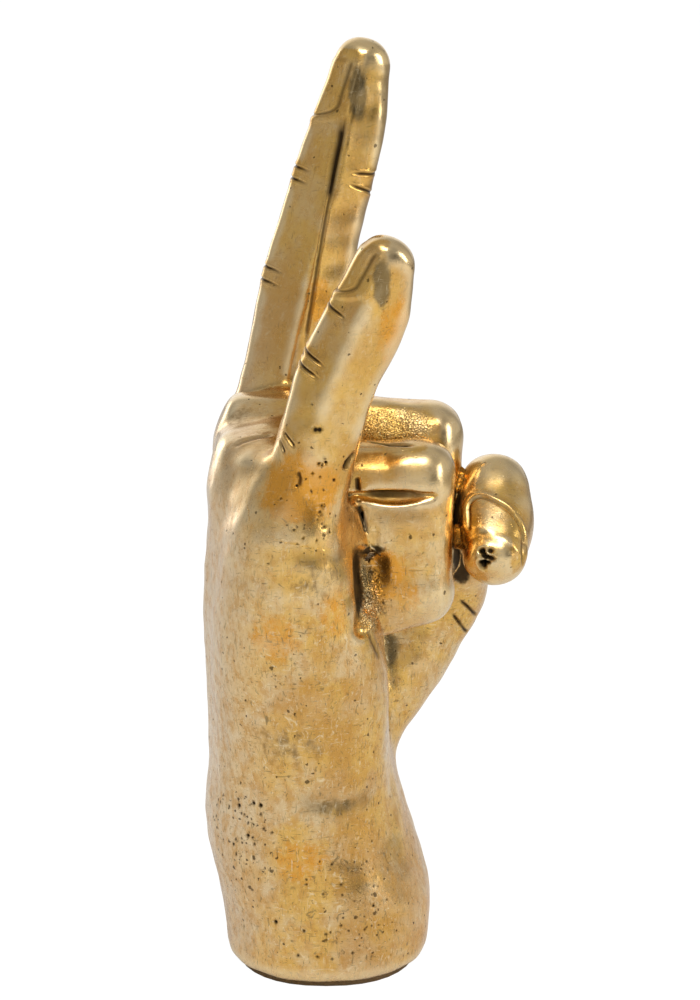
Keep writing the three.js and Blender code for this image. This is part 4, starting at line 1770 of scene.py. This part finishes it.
def swollen_copy(name: str, gap: float) -> bpy.types.Object:
    """Copies a CAD node, a little larger, to cut a place for it.

    Args:
        name: Name of the node.
        gap: How much larger it is on each side.

    Returns:
        The copy, in millimetres from the foot.
    """
    shape = bmesh.new()
    shape.from_mesh(bpy.data.objects[name].data)
    bmesh.ops.remove_doubles(shape, verts=shape.verts, dist=TINY)
    bmesh.ops.triangulate(shape, faces=shape.faces)
    foot = Vector((0.0, 0.0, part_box("hand_casting")[0].z))
    low, high = ((corner - foot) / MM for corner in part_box(name))
    middle, half = (low + high) / 2, (high - low) / 2
    for point in shape.verts:
        away = (point.co - foot) / MM - middle
        point.co = middle + Vector(part * (1.0 + gap / size) for part, size in zip(away, half))
    return new_body(shape, "pocket")


def combine(body: bpy.types.Object, tool: bpy.types.Object, way: str) -> None:
    """Cuts a body with another, or keeps what they share.

    Args:
        body: The body that is changed.
        tool: The body that it is cut with.
        way: DIFFERENCE or INTERSECT.
    """
    cut = body.modifiers.new("cut", "BOOLEAN")
    cut.operation = way
    cut.object = tool
    cut.solver = "MANIFOLD"
    apply_modifiers(body)


EVEN: Triple = (1.0, 1.0, 1.0)


class Wiring:
    """Nodes of one material or of the world, made and joined."""

    # Places of the mix node's share, its two colours and its result; their names aren't unique.
    MIX_INPUTS, MIXED = (0, 6, 7), 2

    def __init__(self, holder: bpy.types.Material | bpy.types.World, shader: str, place: str) -> None:
        """Opens the nodes.

        Args:
            holder: The material or the world.
            shader: Name of its shader node.
            place: Which coordinates its patterns follow.
        """
        holder.use_nodes = True
        self.tree = holder.node_tree
        self.shader = self.tree.nodes[shader]
        self.coordinates = self.add("ShaderNodeTexCoord").outputs[place]

    @classmethod
    def of_material(cls, name: str) -> tuple[bpy.types.Material, Wiring]:
        """Starts a material and gives it with its nodes."""
        material = bpy.data.materials.new(name)
        return material, cls(material, "Principled BSDF", "Object")

    def add(self, kind: str, **values: object) -> bpy.types.Node:
        """Adds a node.

        Args:
            kind: Type of the node.
            values: Properties of the node.

        Returns:
            The node.
        """
        node = self.tree.nodes.new(kind)
        for name, value in values.items():
            setattr(node, name, value)
        return node

    def feed(self, socket: Socket, value: object) -> None:
        """Joins a socket to another one or sets its value.

        Args:
            socket: The input.
            value: An output, a number or a colour.
        """
        if isinstance(value, Socket):
            self.tree.links.new(value, socket)
        elif isinstance(value, tuple) and len(value) == 3 and socket.type == "RGBA":
            socket.default_value = (*value, 1.0)
        else:
            socket.default_value = value

    def noise(self, size: float, detail: float, rough: float = 0.5, stretch: Triple = EVEN) -> Socket:
        """Adds soft noise.

        Args:
            size: Size of its patches in millimetres.
            detail: Number of finer layers.
            rough: Weight of the finer layers.
            stretch: How much the noise is stretched along the axes.

        Returns:
            The noise, about 0.25 to 0.75.
        """
        mapping = self.add("ShaderNodeMapping")
        self.feed(mapping.inputs["Vector"], self.coordinates)
        self.feed(mapping.inputs["Scale"], [1.0 / way for way in stretch])
        node = self.add("ShaderNodeTexNoise")
        self.feed(node.inputs["Vector"], mapping.outputs["Vector"])
        for name, value in (("Scale", 1.0 / (size * MM)), ("Detail", detail), ("Roughness", rough)):
            self.feed(node.inputs[name], value)
        return node.outputs["Fac"]

    def mask(self, name: str) -> Socket:
        """Reads the values stored on the mesh under a name."""
        return self.add("ShaderNodeAttribute", attribute_name=name).outputs["Fac"]

    def ramp(self, value: object, low: float, high: float, start: float = 0.0, end: float = 1.0) -> Socket:
        """Eases a value into a new range.

        Args:
            value: The value.
            low: Value that gives start.
            high: Value that gives end.
            start: Result at low.
            end: Result at high.

        Returns:
            The eased value.
        """
        node = self.add("ShaderNodeMapRange", interpolation_type="SMOOTHSTEP")
        for socket, number in zip(node.inputs, (value, low, high, start, end)):
            self.feed(socket, number)
        return node.outputs["Result"]

    def sum(self, kind: str, *values: object, limit: bool = False) -> Socket:
        """Does a sum from left to right.

        Args:
            kind: ADD, MULTIPLY, MAXIMUM and so on.
            values: Two or more values.
            limit: Whether each result is kept between 0 and 1.

        Returns:
            The result.
        """
        result = values[0]
        for value in values[1:]:
            node = self.add("ShaderNodeMath", operation=kind, use_clamp=limit)
            self.feed(node.inputs[0], result)
            self.feed(node.inputs[1], value)
            result = node.outputs["Value"]
        return result

    def bump(self, height: Socket, relief: float, strength: object = 1.0) -> None:
        """Raises the shader's surface.

        Args:
            height: The relief's shape, about 0 to 1.
            relief: Height of the relief in millimetres.
            strength: How strongly it shows.
        """
        node = self.add("ShaderNodeBump")
        for name, value in (("Distance", relief * MM), ("Strength", strength), ("Height", height)):
            self.feed(node.inputs[name], value)
        self.feed(self.shader.inputs["Normal"], node.outputs["Normal"])

    def blend(self, share: object, first: object, second: object) -> Socket:
        """Mixes two colours.

        Args:
            share: Share of the second colour.
            first: First colour.
            second: Second colour.

        Returns:
            The mixed colour.
        """
        node = self.add("ShaderNodeMix", data_type="RGBA")
        for place, value in zip(self.MIX_INPUTS, (share, first, second)):
            self.feed(node.inputs[place], value)
        return node.outputs[self.MIXED]


@dataclass(frozen=True)
class AgedBrass:
    """Cast brass, hand polished long ago and scratched all over; its back is painted paler as painted light,
    its hollows are darkened as patina and painted shade, and its ridges carry a painted highlight.

    Attributes:
        gold: Colour of the bare metal.
        pale: Colour of patches that are rubbed.
        handled: Paler colour painted on the back of the hand, a painted reflection of the bright room on that
            side.
        bright: Colour of fresh scratches, and of the painted highlight on ridges.
        tarnish: Colour of the thin brown film.
        stain: Colour of the orange stains; one of them also darkens the little finger's right side as painted
            shade.
        shade: Colour of painted shade and painted dark reflections, and of dull worn scratches.
        dirt: Colour of what has settled in creases and pits, also laid on as painted shade in hollows, gaps
            and the recess and along some grooves.
    """

    gold: Triple = (0.78, 0.48, 0.13)
    pale: Triple = (0.76, 0.56, 0.30)
    handled: Triple = (0.78, 0.62, 0.43)
    bright: Triple = (0.93, 0.78, 0.50)
    tarnish: Triple = (0.60, 0.31, 0.075)
    stain: Triple = (0.78, 0.35, 0.045)
    shade: Triple = (0.24, 0.165, 0.07)
    dirt: Triple = (0.030, 0.019, 0.009)

    # Noises: size, detail, weight of the finer layers and stretch.
    MOTTLE = (2.2, 5.0, 0.62, (1.0, 1.0, 1.5))
    CLOUDS = (13.0, 4.0, 0.6)
    DRIFTS = (26.0, 5.0, 0.62, (1.0, 1.0, 1.6))
    REGIONS = (22.0, 2.0)
    HAIR, HAIR_WAYS, HAIR_BEND = (0.75, 2.0, 0.6), ((1.0, 1.0, 6.0), (6.0, 1.5, 1.0), (4.0, 1.0, 4.0)), 1.5
    # Ramps: where they start and end, and what they give there.
    WEAR = (165.0 * MM, 85.0 * MM, 0.5, 1.0)
    BACK = (-8.0 * MM, -36.0 * MM, 0.0, 0.85)
    CREVICE, RIDGE = (0.30, 1.0, 0.0, 0.85), (-0.05, -0.35, 0.0, 0.5)
    GRIMY, STAINED, DULLED = (0.2, 0.8, 0.0, 0.95), (0.25, 0.8, 0.0, 0.9), (0.2, 0.8, 0.0, 0.95)
    PALED, FILMED, SPECKLED = (0.44, 0.64), (0.46, 0.62, 0.0, 0.65), (0.42, 0.66, 0.0, 0.62)
    RUBBED, WORN = (0.60, 0.76), (0.40, 0.26)
    POLISH = (0.3, 0.7, 0.14, 0.26)
    PIT_CHANCE = (0.60, 1.15, 0.94, 0.45)
    # Shares of what is laid over the metal, and the relief in millimetres.
    RUBBED_SHARE, WORN_SHARE, PIT_SHARE = 0.6, 0.8, 0.75
    RAGGED = 1.2
    WEAR_ROUGH, DIRT_ROUGH = 0.05, 0.3
    RELIEF, RELIEF_SHARE, WORN_RELIEF = 0.2, 0.3, 0.2
    PITS = ((1.6, 0.27), (4.6, 0.16))
    PIT_CORE, PIT_WARP_SIZE, PIT_WARP = 0.6, 0.9, 1.1

    def make(self) -> bpy.types.Material:
        """Makes the material.

        Returns:
            The material.
        """
        material, w = Wiring.of_material("aged_brass")
        split = w.add("ShaderNodeSeparateXYZ")
        w.feed(split.inputs["Vector"], w.coordinates)
        wear = w.ramp(split.outputs["Z"], *self.WEAR)
        mottle = w.noise(*self.MOTTLE)
        uneven = w.sum("SUBTRACT", mottle, 0.5)
        pits = self._pits(w)
        hollow = w.mask("hollow")
        # Near-black grime and painted shade from the grime patches.
        grime = w.ramp(w.sum("ADD", w.mask(Tint.GRIME.value), uneven), *self.GRIMY)
        # Dirt and hollows darken the metal: patina in creases and dirt in pits, with painted shade in
        # recesses and gaps.
        crevice = w.sum("MAXIMUM", w.mask("dirt"), w.ramp(hollow, *self.CREVICE))
        dark = w.sum("MAXIMUM", crevice, grime, pits)
        rubbed, worn = self._hairlines(w)
        colour = self._metal(w, split.outputs["X"], mottle, uneven, wear)
        colour = w.blend(w.sum("MULTIPLY", rubbed, wear, self.RUBBED_SHARE), colour, self.bright)
        colour = w.blend(w.sum("MULTIPLY", worn, wear, self.WORN_SHARE), colour, self.shade)
        # Painted highlight: ridges are painted bright, partly as rubbed wear.
        colour = w.blend(w.ramp(hollow, *self.RIDGE), colour, self.bright)
        w.feed(w.shader.inputs["Base Color"], w.blend(dark, colour, self.dirt))
        w.feed(w.shader.inputs["Metallic"], 1.0)
        smooth = w.sum("ADD", w.ramp(mottle, *self.POLISH), w.sum("MULTIPLY", wear, self.WEAR_ROUGH))
        rough = w.sum("ADD", smooth, w.sum("MULTIPLY", dark, self.DIRT_ROUGH), limit=True)
        w.feed(w.shader.inputs["Roughness"], rough)
        sunk = w.sum("ADD", pits, w.sum("MULTIPLY", worn, self.WORN_RELIEF))
        w.bump(w.sum("SUBTRACT", mottle, sunk), self.RELIEF, w.sum("MULTIPLY", wear, self.RELIEF_SHARE))
        return material

    def _metal(self, w: Wiring, across: Socket, mottle: Socket, uneven: Socket, wear: Socket) -> Socket:
        """Mixes the colours of the metal and of the films and stains on it, with painted light on its back
        and painted shade in patches.
        """
        paled = w.sum("MULTIPLY", w.ramp(w.noise(*self.CLOUDS), *self.PALED), wear)
        colour = w.blend(paled, self.gold, self.pale)
        colour = w.blend(w.ramp(w.noise(*self.DRIFTS), *self.FILMED), colour, self.tarnish)
        # Painted light: the back of the hand is painted paler, a painted reflection of the bright room on
        # that side.
        colour = w.blend(w.ramp(across, *self.BACK), colour, self.handled)
        speckled = w.sum("MULTIPLY", w.ramp(mottle, *self.SPECKLED), wear)
        colour = w.blend(speckled, colour, self.tarnish)
        ragged = w.sum("MULTIPLY", uneven, self.RAGGED)
        stained = w.ramp(w.sum("ADD", w.mask(Tint.STAIN.value), ragged), *self.STAINED)
        colour = w.blend(stained, colour, self.stain)
        # Painted shade: the shade patches darken the metal towards the shade colour.
        dulled = w.ramp(w.sum("ADD", w.mask(Tint.SHADE.value), ragged), *self.DULLED)
        return w.blend(dulled, colour, self.shade)

    def _hairlines(self, w: Wiring) -> tuple[Socket, Socket]:
        """Adds fine scratches that run three ways, the rubbed ones bright and the worn ones dull."""
        ways = [w.noise(*self.HAIR, stretch) for stretch in self.HAIR_WAYS]
        for way in ways:
            way.node.inputs["Distortion"].default_value = self.HAIR_BEND
        most, least = w.sum("MAXIMUM", *ways), w.sum("MINIMUM", *ways)
        return w.ramp(most, *self.RUBBED), w.ramp(least, *self.WORN)

    def _pits(self, w: Wiring) -> Socket:
        """Adds the fine casting pits that are too small for the mesh, most of them where the skin is raw."""
        warp = w.add("ShaderNodeTexNoise")
        w.feed(warp.inputs["Vector"], w.coordinates)
        w.feed(warp.inputs["Scale"], 1.0 / (self.PIT_WARP_SIZE * MM))
        bend = w.add("ShaderNodeVectorMath", operation="MULTIPLY_ADD")
        w.feed(bend.inputs[0], warp.outputs["Color"])
        w.feed(bend.inputs[1], (self.PIT_WARP * MM,) * 3)
        w.feed(bend.inputs[2], w.coordinates)
        zone = w.ramp(w.sum("ADD", w.mask(Tint.RAW.value), w.noise(*self.REGIONS)), *self.PIT_CHANCE)
        spots = []
        for cell, radius in self.PITS:
            cells = w.add("ShaderNodeTexVoronoi")
            w.feed(cells.inputs["Vector"], bend.outputs["Vector"])
            w.feed(cells.inputs["Scale"], 1.0 / (cell * MM))
            chance = w.add("ShaderNodeSeparateColor")
            w.feed(chance.inputs["Color"], cells.outputs["Color"])
            chosen = w.sum("GREATER_THAN", chance.outputs["Red"], zone)
            spot = w.ramp(cells.outputs["Distance"], self.PIT_CORE * radius, radius, 1.0, 0.0)
            spots.append(w.sum("MULTIPLY", spot, chosen))
        return w.sum("MULTIPLY", w.sum("MAXIMUM", *spots), self.PIT_SHARE)


@dataclass(frozen=True)
class PlainFinish:
    """A plain worked surface of a piece that is mostly out of sight.

    Attributes:
        name: Name of the material.
        colour: Colour.
        metallic: Whether it is metal.
        rough: Least and greatest roughness.
        grain: Size of the surface's grain in millimetres.
        stretch: How much the grain is drawn out along the axes.
        relief: Height of the grain in millimetres.
    """

    name: str
    colour: Triple
    metallic: bool
    rough: tuple[float, float]
    grain: float
    stretch: Triple
    relief: float

    LAYERS = (4.0, 0.6)
    SPAN = (0.3, 0.7)
    DARKER = 0.7

    def make(self) -> bpy.types.Material:
        """Makes the material.

        Returns:
            The material.
        """
        material, w = Wiring.of_material(self.name)
        grain = w.noise(self.grain, *self.LAYERS, self.stretch)
        darker = tuple(self.DARKER * part for part in self.colour)
        w.feed(w.shader.inputs["Base Color"], w.blend(w.ramp(grain, *self.SPAN), darker, self.colour))
        w.feed(w.shader.inputs["Metallic"], float(self.metallic))
        w.feed(w.shader.inputs["Roughness"], w.ramp(grain, *self.SPAN, *self.rough))
        w.bump(grain, self.relief)
        return material


DRAWN_BRASS = PlainFinish("drawn_brass", (0.68, 0.47, 0.2), True, (0.25, 0.4), 0.8, (1.0, 1.0, 8.0), 0.02)
ROLLED_BRASS = PlainFinish("rolled_brass", (0.62, 0.43, 0.19), True, (0.3, 0.5), 1.2, (10.0, 1.0, 1.0), 0.03)
TURNED_STEEL = PlainFinish("turned_steel", (0.52, 0.51, 0.49), True, (0.25, 0.42), 0.6, (1.0, 1.0, 0.3), 0.01)
PRESSED_FELT = PlainFinish("pressed_felt", (0.20, 0.125, 0.055), False, (0.85, 1.0), 0.5, EVEN, 0.25)

HIDDEN_PIECES = {
    DRAWN_BRASS: tuple(DOWELS),
    ROLLED_BRASS: (PLATE,),
    TURNED_STEEL: SCREWS,
    PRESSED_FELT: ("felt_pad",),
}


@dataclass(frozen=True)
class Lamp:
    """A soft lamp.

    Attributes:
        name: Name of the lamp.
        at: Place in metres.
        size: Width and height in metres.
        power: Power in watts.
    """

    name: str
    at: Triple
    size: tuple[float, float]
    power: float

    def hang(self, target: Vector) -> None:
        """Hangs the lamp so that it looks at a point.

        Args:
            target: The point, in metres.
        """
        data = bpy.data.lights.new(self.name, "AREA")
        data.shape = "RECTANGLE"
        data.size, data.size_y = self.size
        data.energy = self.power
        lamp = bpy.data.objects.new(self.name, data)
        bpy.context.collection.objects.link(lamp)
        lamp.location = self.at
        lamp.rotation_euler = (target - Vector(self.at)).to_track_quat("-Z", "Y").to_euler()


LAMPS = (
    Lamp("front_softbox", (0.05, -0.75, 1.15), (0.7, 0.4), 5.2),
    Lamp("right_softbox", (1.10, -0.50, 0.50), (0.3, 0.6), 3.0),
    Lamp("back_strip", (-0.80, 1.00, 0.30), (0.3, 0.8), 1.2),
)


@dataclass(frozen=True)
class Glow:
    """A soft part of the room that is brighter or darker than the rest.

    Attributes:
        way: The way to it.
        edge: Angle from that way, in degrees, at which it ends.
        core: Angle within which it is full.
        gain: How much brighter it is.
    """

    way: Triple
    edge: float
    core: float
    gain: float


GLOWS = (
    Glow((-0.35, 0.93, 0.00), 60.0, 20.0, 0.70),
    Glow((0.00, -1.00, 0.05), 40.0, 12.0, 0.30),
    Glow((-0.90, -0.45, 0.00), 50.0, 20.0, 0.15),
    Glow((0.62, -0.78, 0.08), 20.0, 8.0, -0.20),
    Glow((0.95, 0.10, 0.15), 50.0, 15.0, 0.25),
    Glow((0.00, -0.57, 0.82), 32.0, 10.0, 0.45),
    Glow((0.00, 0.20, 1.00), 50.0, 20.0, 0.15),
)


@dataclass(frozen=True)
class Studio:
    """The photograph's surroundings: white floor, soft lamps and a long lens.

    Attributes:
        target: Point the camera looks at, in millimetres.
        distance: Distance of the camera from it, in millimetres.
        elevation: How far the camera looks down, in degrees.
        lens: Focal length for a 36 mm sensor.
        lamps: The soft lamps.
        room: How bright the room is.
        light: Colour of the room's light.
        glows: Its brighter and darker parts.
        aim: Point in metres that the lamps are turned to.
        floor_half: Half the floor's side in metres.
        floor_near: Colour of the floor round the object.
        floor_far: Colour of the floor far off to the right and the back, which the metal mirrors.
        floor_fade: Where the one turns into the other, in metres.
        floor_glow: How bright the floor looks to the camera.
        floor_white: How much of its shading the camera doesn't see.
    """

    target: Triple = (6.0, 0.0, 128.0)
    distance: float = 800.0
    elevation: float = 13.0
    lens: float = 106.1
    lamps: tuple[Lamp, ...] = LAMPS
    room: float = 0.34
    light: Triple = (1.0, 1.0, 1.0)
    glows: tuple[Glow, ...] = GLOWS
    aim: Triple = (0.0, 0.0, 0.12)
    floor_half: float = 4.0
    floor_near: Triple = (0.94, 0.94, 0.94)
    floor_far: Triple = (0.45, 0.42, 0.38)
    floor_fade: tuple[float, float] = (0.5, 1.5)
    floor_glow: float = 1.1
    floor_white: float = 0.9

    SENSOR = 36.0
    FLOOR_ROUGH = 0.9

    def build(self) -> None:
        """Sets up floor, lamps and camera."""
        self._camera()
        self._floor()
        self._world()
        for lamp in self.lamps:
            lamp.hang(Vector(self.aim))

    def _camera(self) -> None:
        """Places the camera at the photograph's angle."""
        data = bpy.data.cameras.new("camera")
        data.lens = self.lens
        data.sensor_width = self.SENSOR
        camera = bpy.data.objects.new("camera", data)
        bpy.context.collection.objects.link(camera)
        down = math.radians(self.elevation)
        away = Vector((0.0, -math.cos(down), math.sin(down))) * self.distance
        camera.location = (Vector(self.target) + away) * MM
        camera.rotation_euler = (math.pi / 2 - down, 0.0, 0.0)
        bpy.context.scene.camera = camera

    def _floor(self) -> None:
        """Lays the white floor, which the camera sees nearly unshaded."""
        shape = bmesh.new()
        bmesh.ops.create_grid(shape, x_segments=1, y_segments=1, size=self.floor_half)
        floor = new_body(shape, "floor")
        material, w = Wiring.of_material("floor")
        split = w.add("ShaderNodeSeparateXYZ")
        w.feed(split.inputs["Vector"], w.coordinates)
        side = w.ramp(w.sum("ADD", split.outputs["X"], split.outputs["Y"]), *self.floor_fade)
        w.feed(w.shader.inputs["Base Color"], w.blend(side, self.floor_near, self.floor_far))
        w.feed(w.shader.inputs["Roughness"], self.FLOOR_ROUGH)
        glow = w.add("ShaderNodeEmission")
        path = w.add("ShaderNodeLightPath")
        mix = w.add("ShaderNodeMixShader")
        w.feed(glow.inputs["Strength"], self.floor_glow)
        w.feed(mix.inputs["Fac"], w.sum("MULTIPLY", path.outputs["Is Camera Ray"], self.floor_white))
        w.feed(mix.inputs[1], w.shader.outputs["BSDF"])
        w.feed(mix.inputs[2], glow.outputs["Emission"])
        w.feed(w.tree.nodes["Material Output"].inputs["Surface"], mix.outputs["Shader"])
        floor.data.materials.append(material)

    def _world(self) -> None:
        """Lights the room: white behind the object, darker behind the camera."""
        world = bpy.data.worlds.new("studio")
        w = Wiring(world, "Background", "Generated")
        level = self.room
        for glow in self.glows:
            toward = w.add("ShaderNodeVectorMath", operation="DOT_PRODUCT")
            w.feed(toward.inputs[0], w.coordinates)
            w.feed(toward.inputs[1], Vector(glow.way).normalized())
            edge, core = (math.cos(math.radians(angle)) for angle in (glow.edge, glow.core))
            level = w.sum("ADD", level, w.ramp(toward.outputs["Value"], edge, core, 0.0, glow.gain))
        seen = w.add("ShaderNodeLightPath").outputs["Is Camera Ray"]
        w.feed(w.shader.inputs["Strength"], w.sum("MAXIMUM", level, seen))
        w.feed(w.shader.inputs["Color"], self.light)
        bpy.context.scene.world = world


def dress(body: bpy.types.Object, material: bpy.types.Material) -> None:
    """Gives a body one material.

    Args:
        body: The body.
        material: The material.
    """
    body.data.materials.clear()
    body.data.materials.append(material)
    log.info("%s: %s", body.name, material.name)


def place(body: bpy.types.Object, name: str) -> None:
    """Sets a finished casting on the felt and joins it to the frame.

    Args:
        body: The casting, in millimetres from the foot.
        name: Name of the CAD node that it stands for.
    """
    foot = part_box("hand_casting")[0].z
    body.data.transform(Matrix.Translation((0.0, 0.0, foot)) @ Matrix.Scale(MM, 4))
    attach(body, "root")
    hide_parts(name)
    log.info("%s: %d faces", name, len(body.data.polygons))


def main() -> None:
    """Builds the hand, dresses it and sets up the studio."""
    logging.basicConfig(level=logging.INFO, format="%(message)s")
    bpy.context.scene.view_settings.view_transform = "Standard"
    brass = AgedBrass().make()
    for name, body in HandCasting().build().items():
        dress(body, brass)
        place(body, name)
    for finish, names in HIDDEN_PIECES.items():
        material = finish.make()
        for name in names:
            dress(bpy.data.objects[name], material)
    Studio().build()


if __name__ == "__main__":
    main()
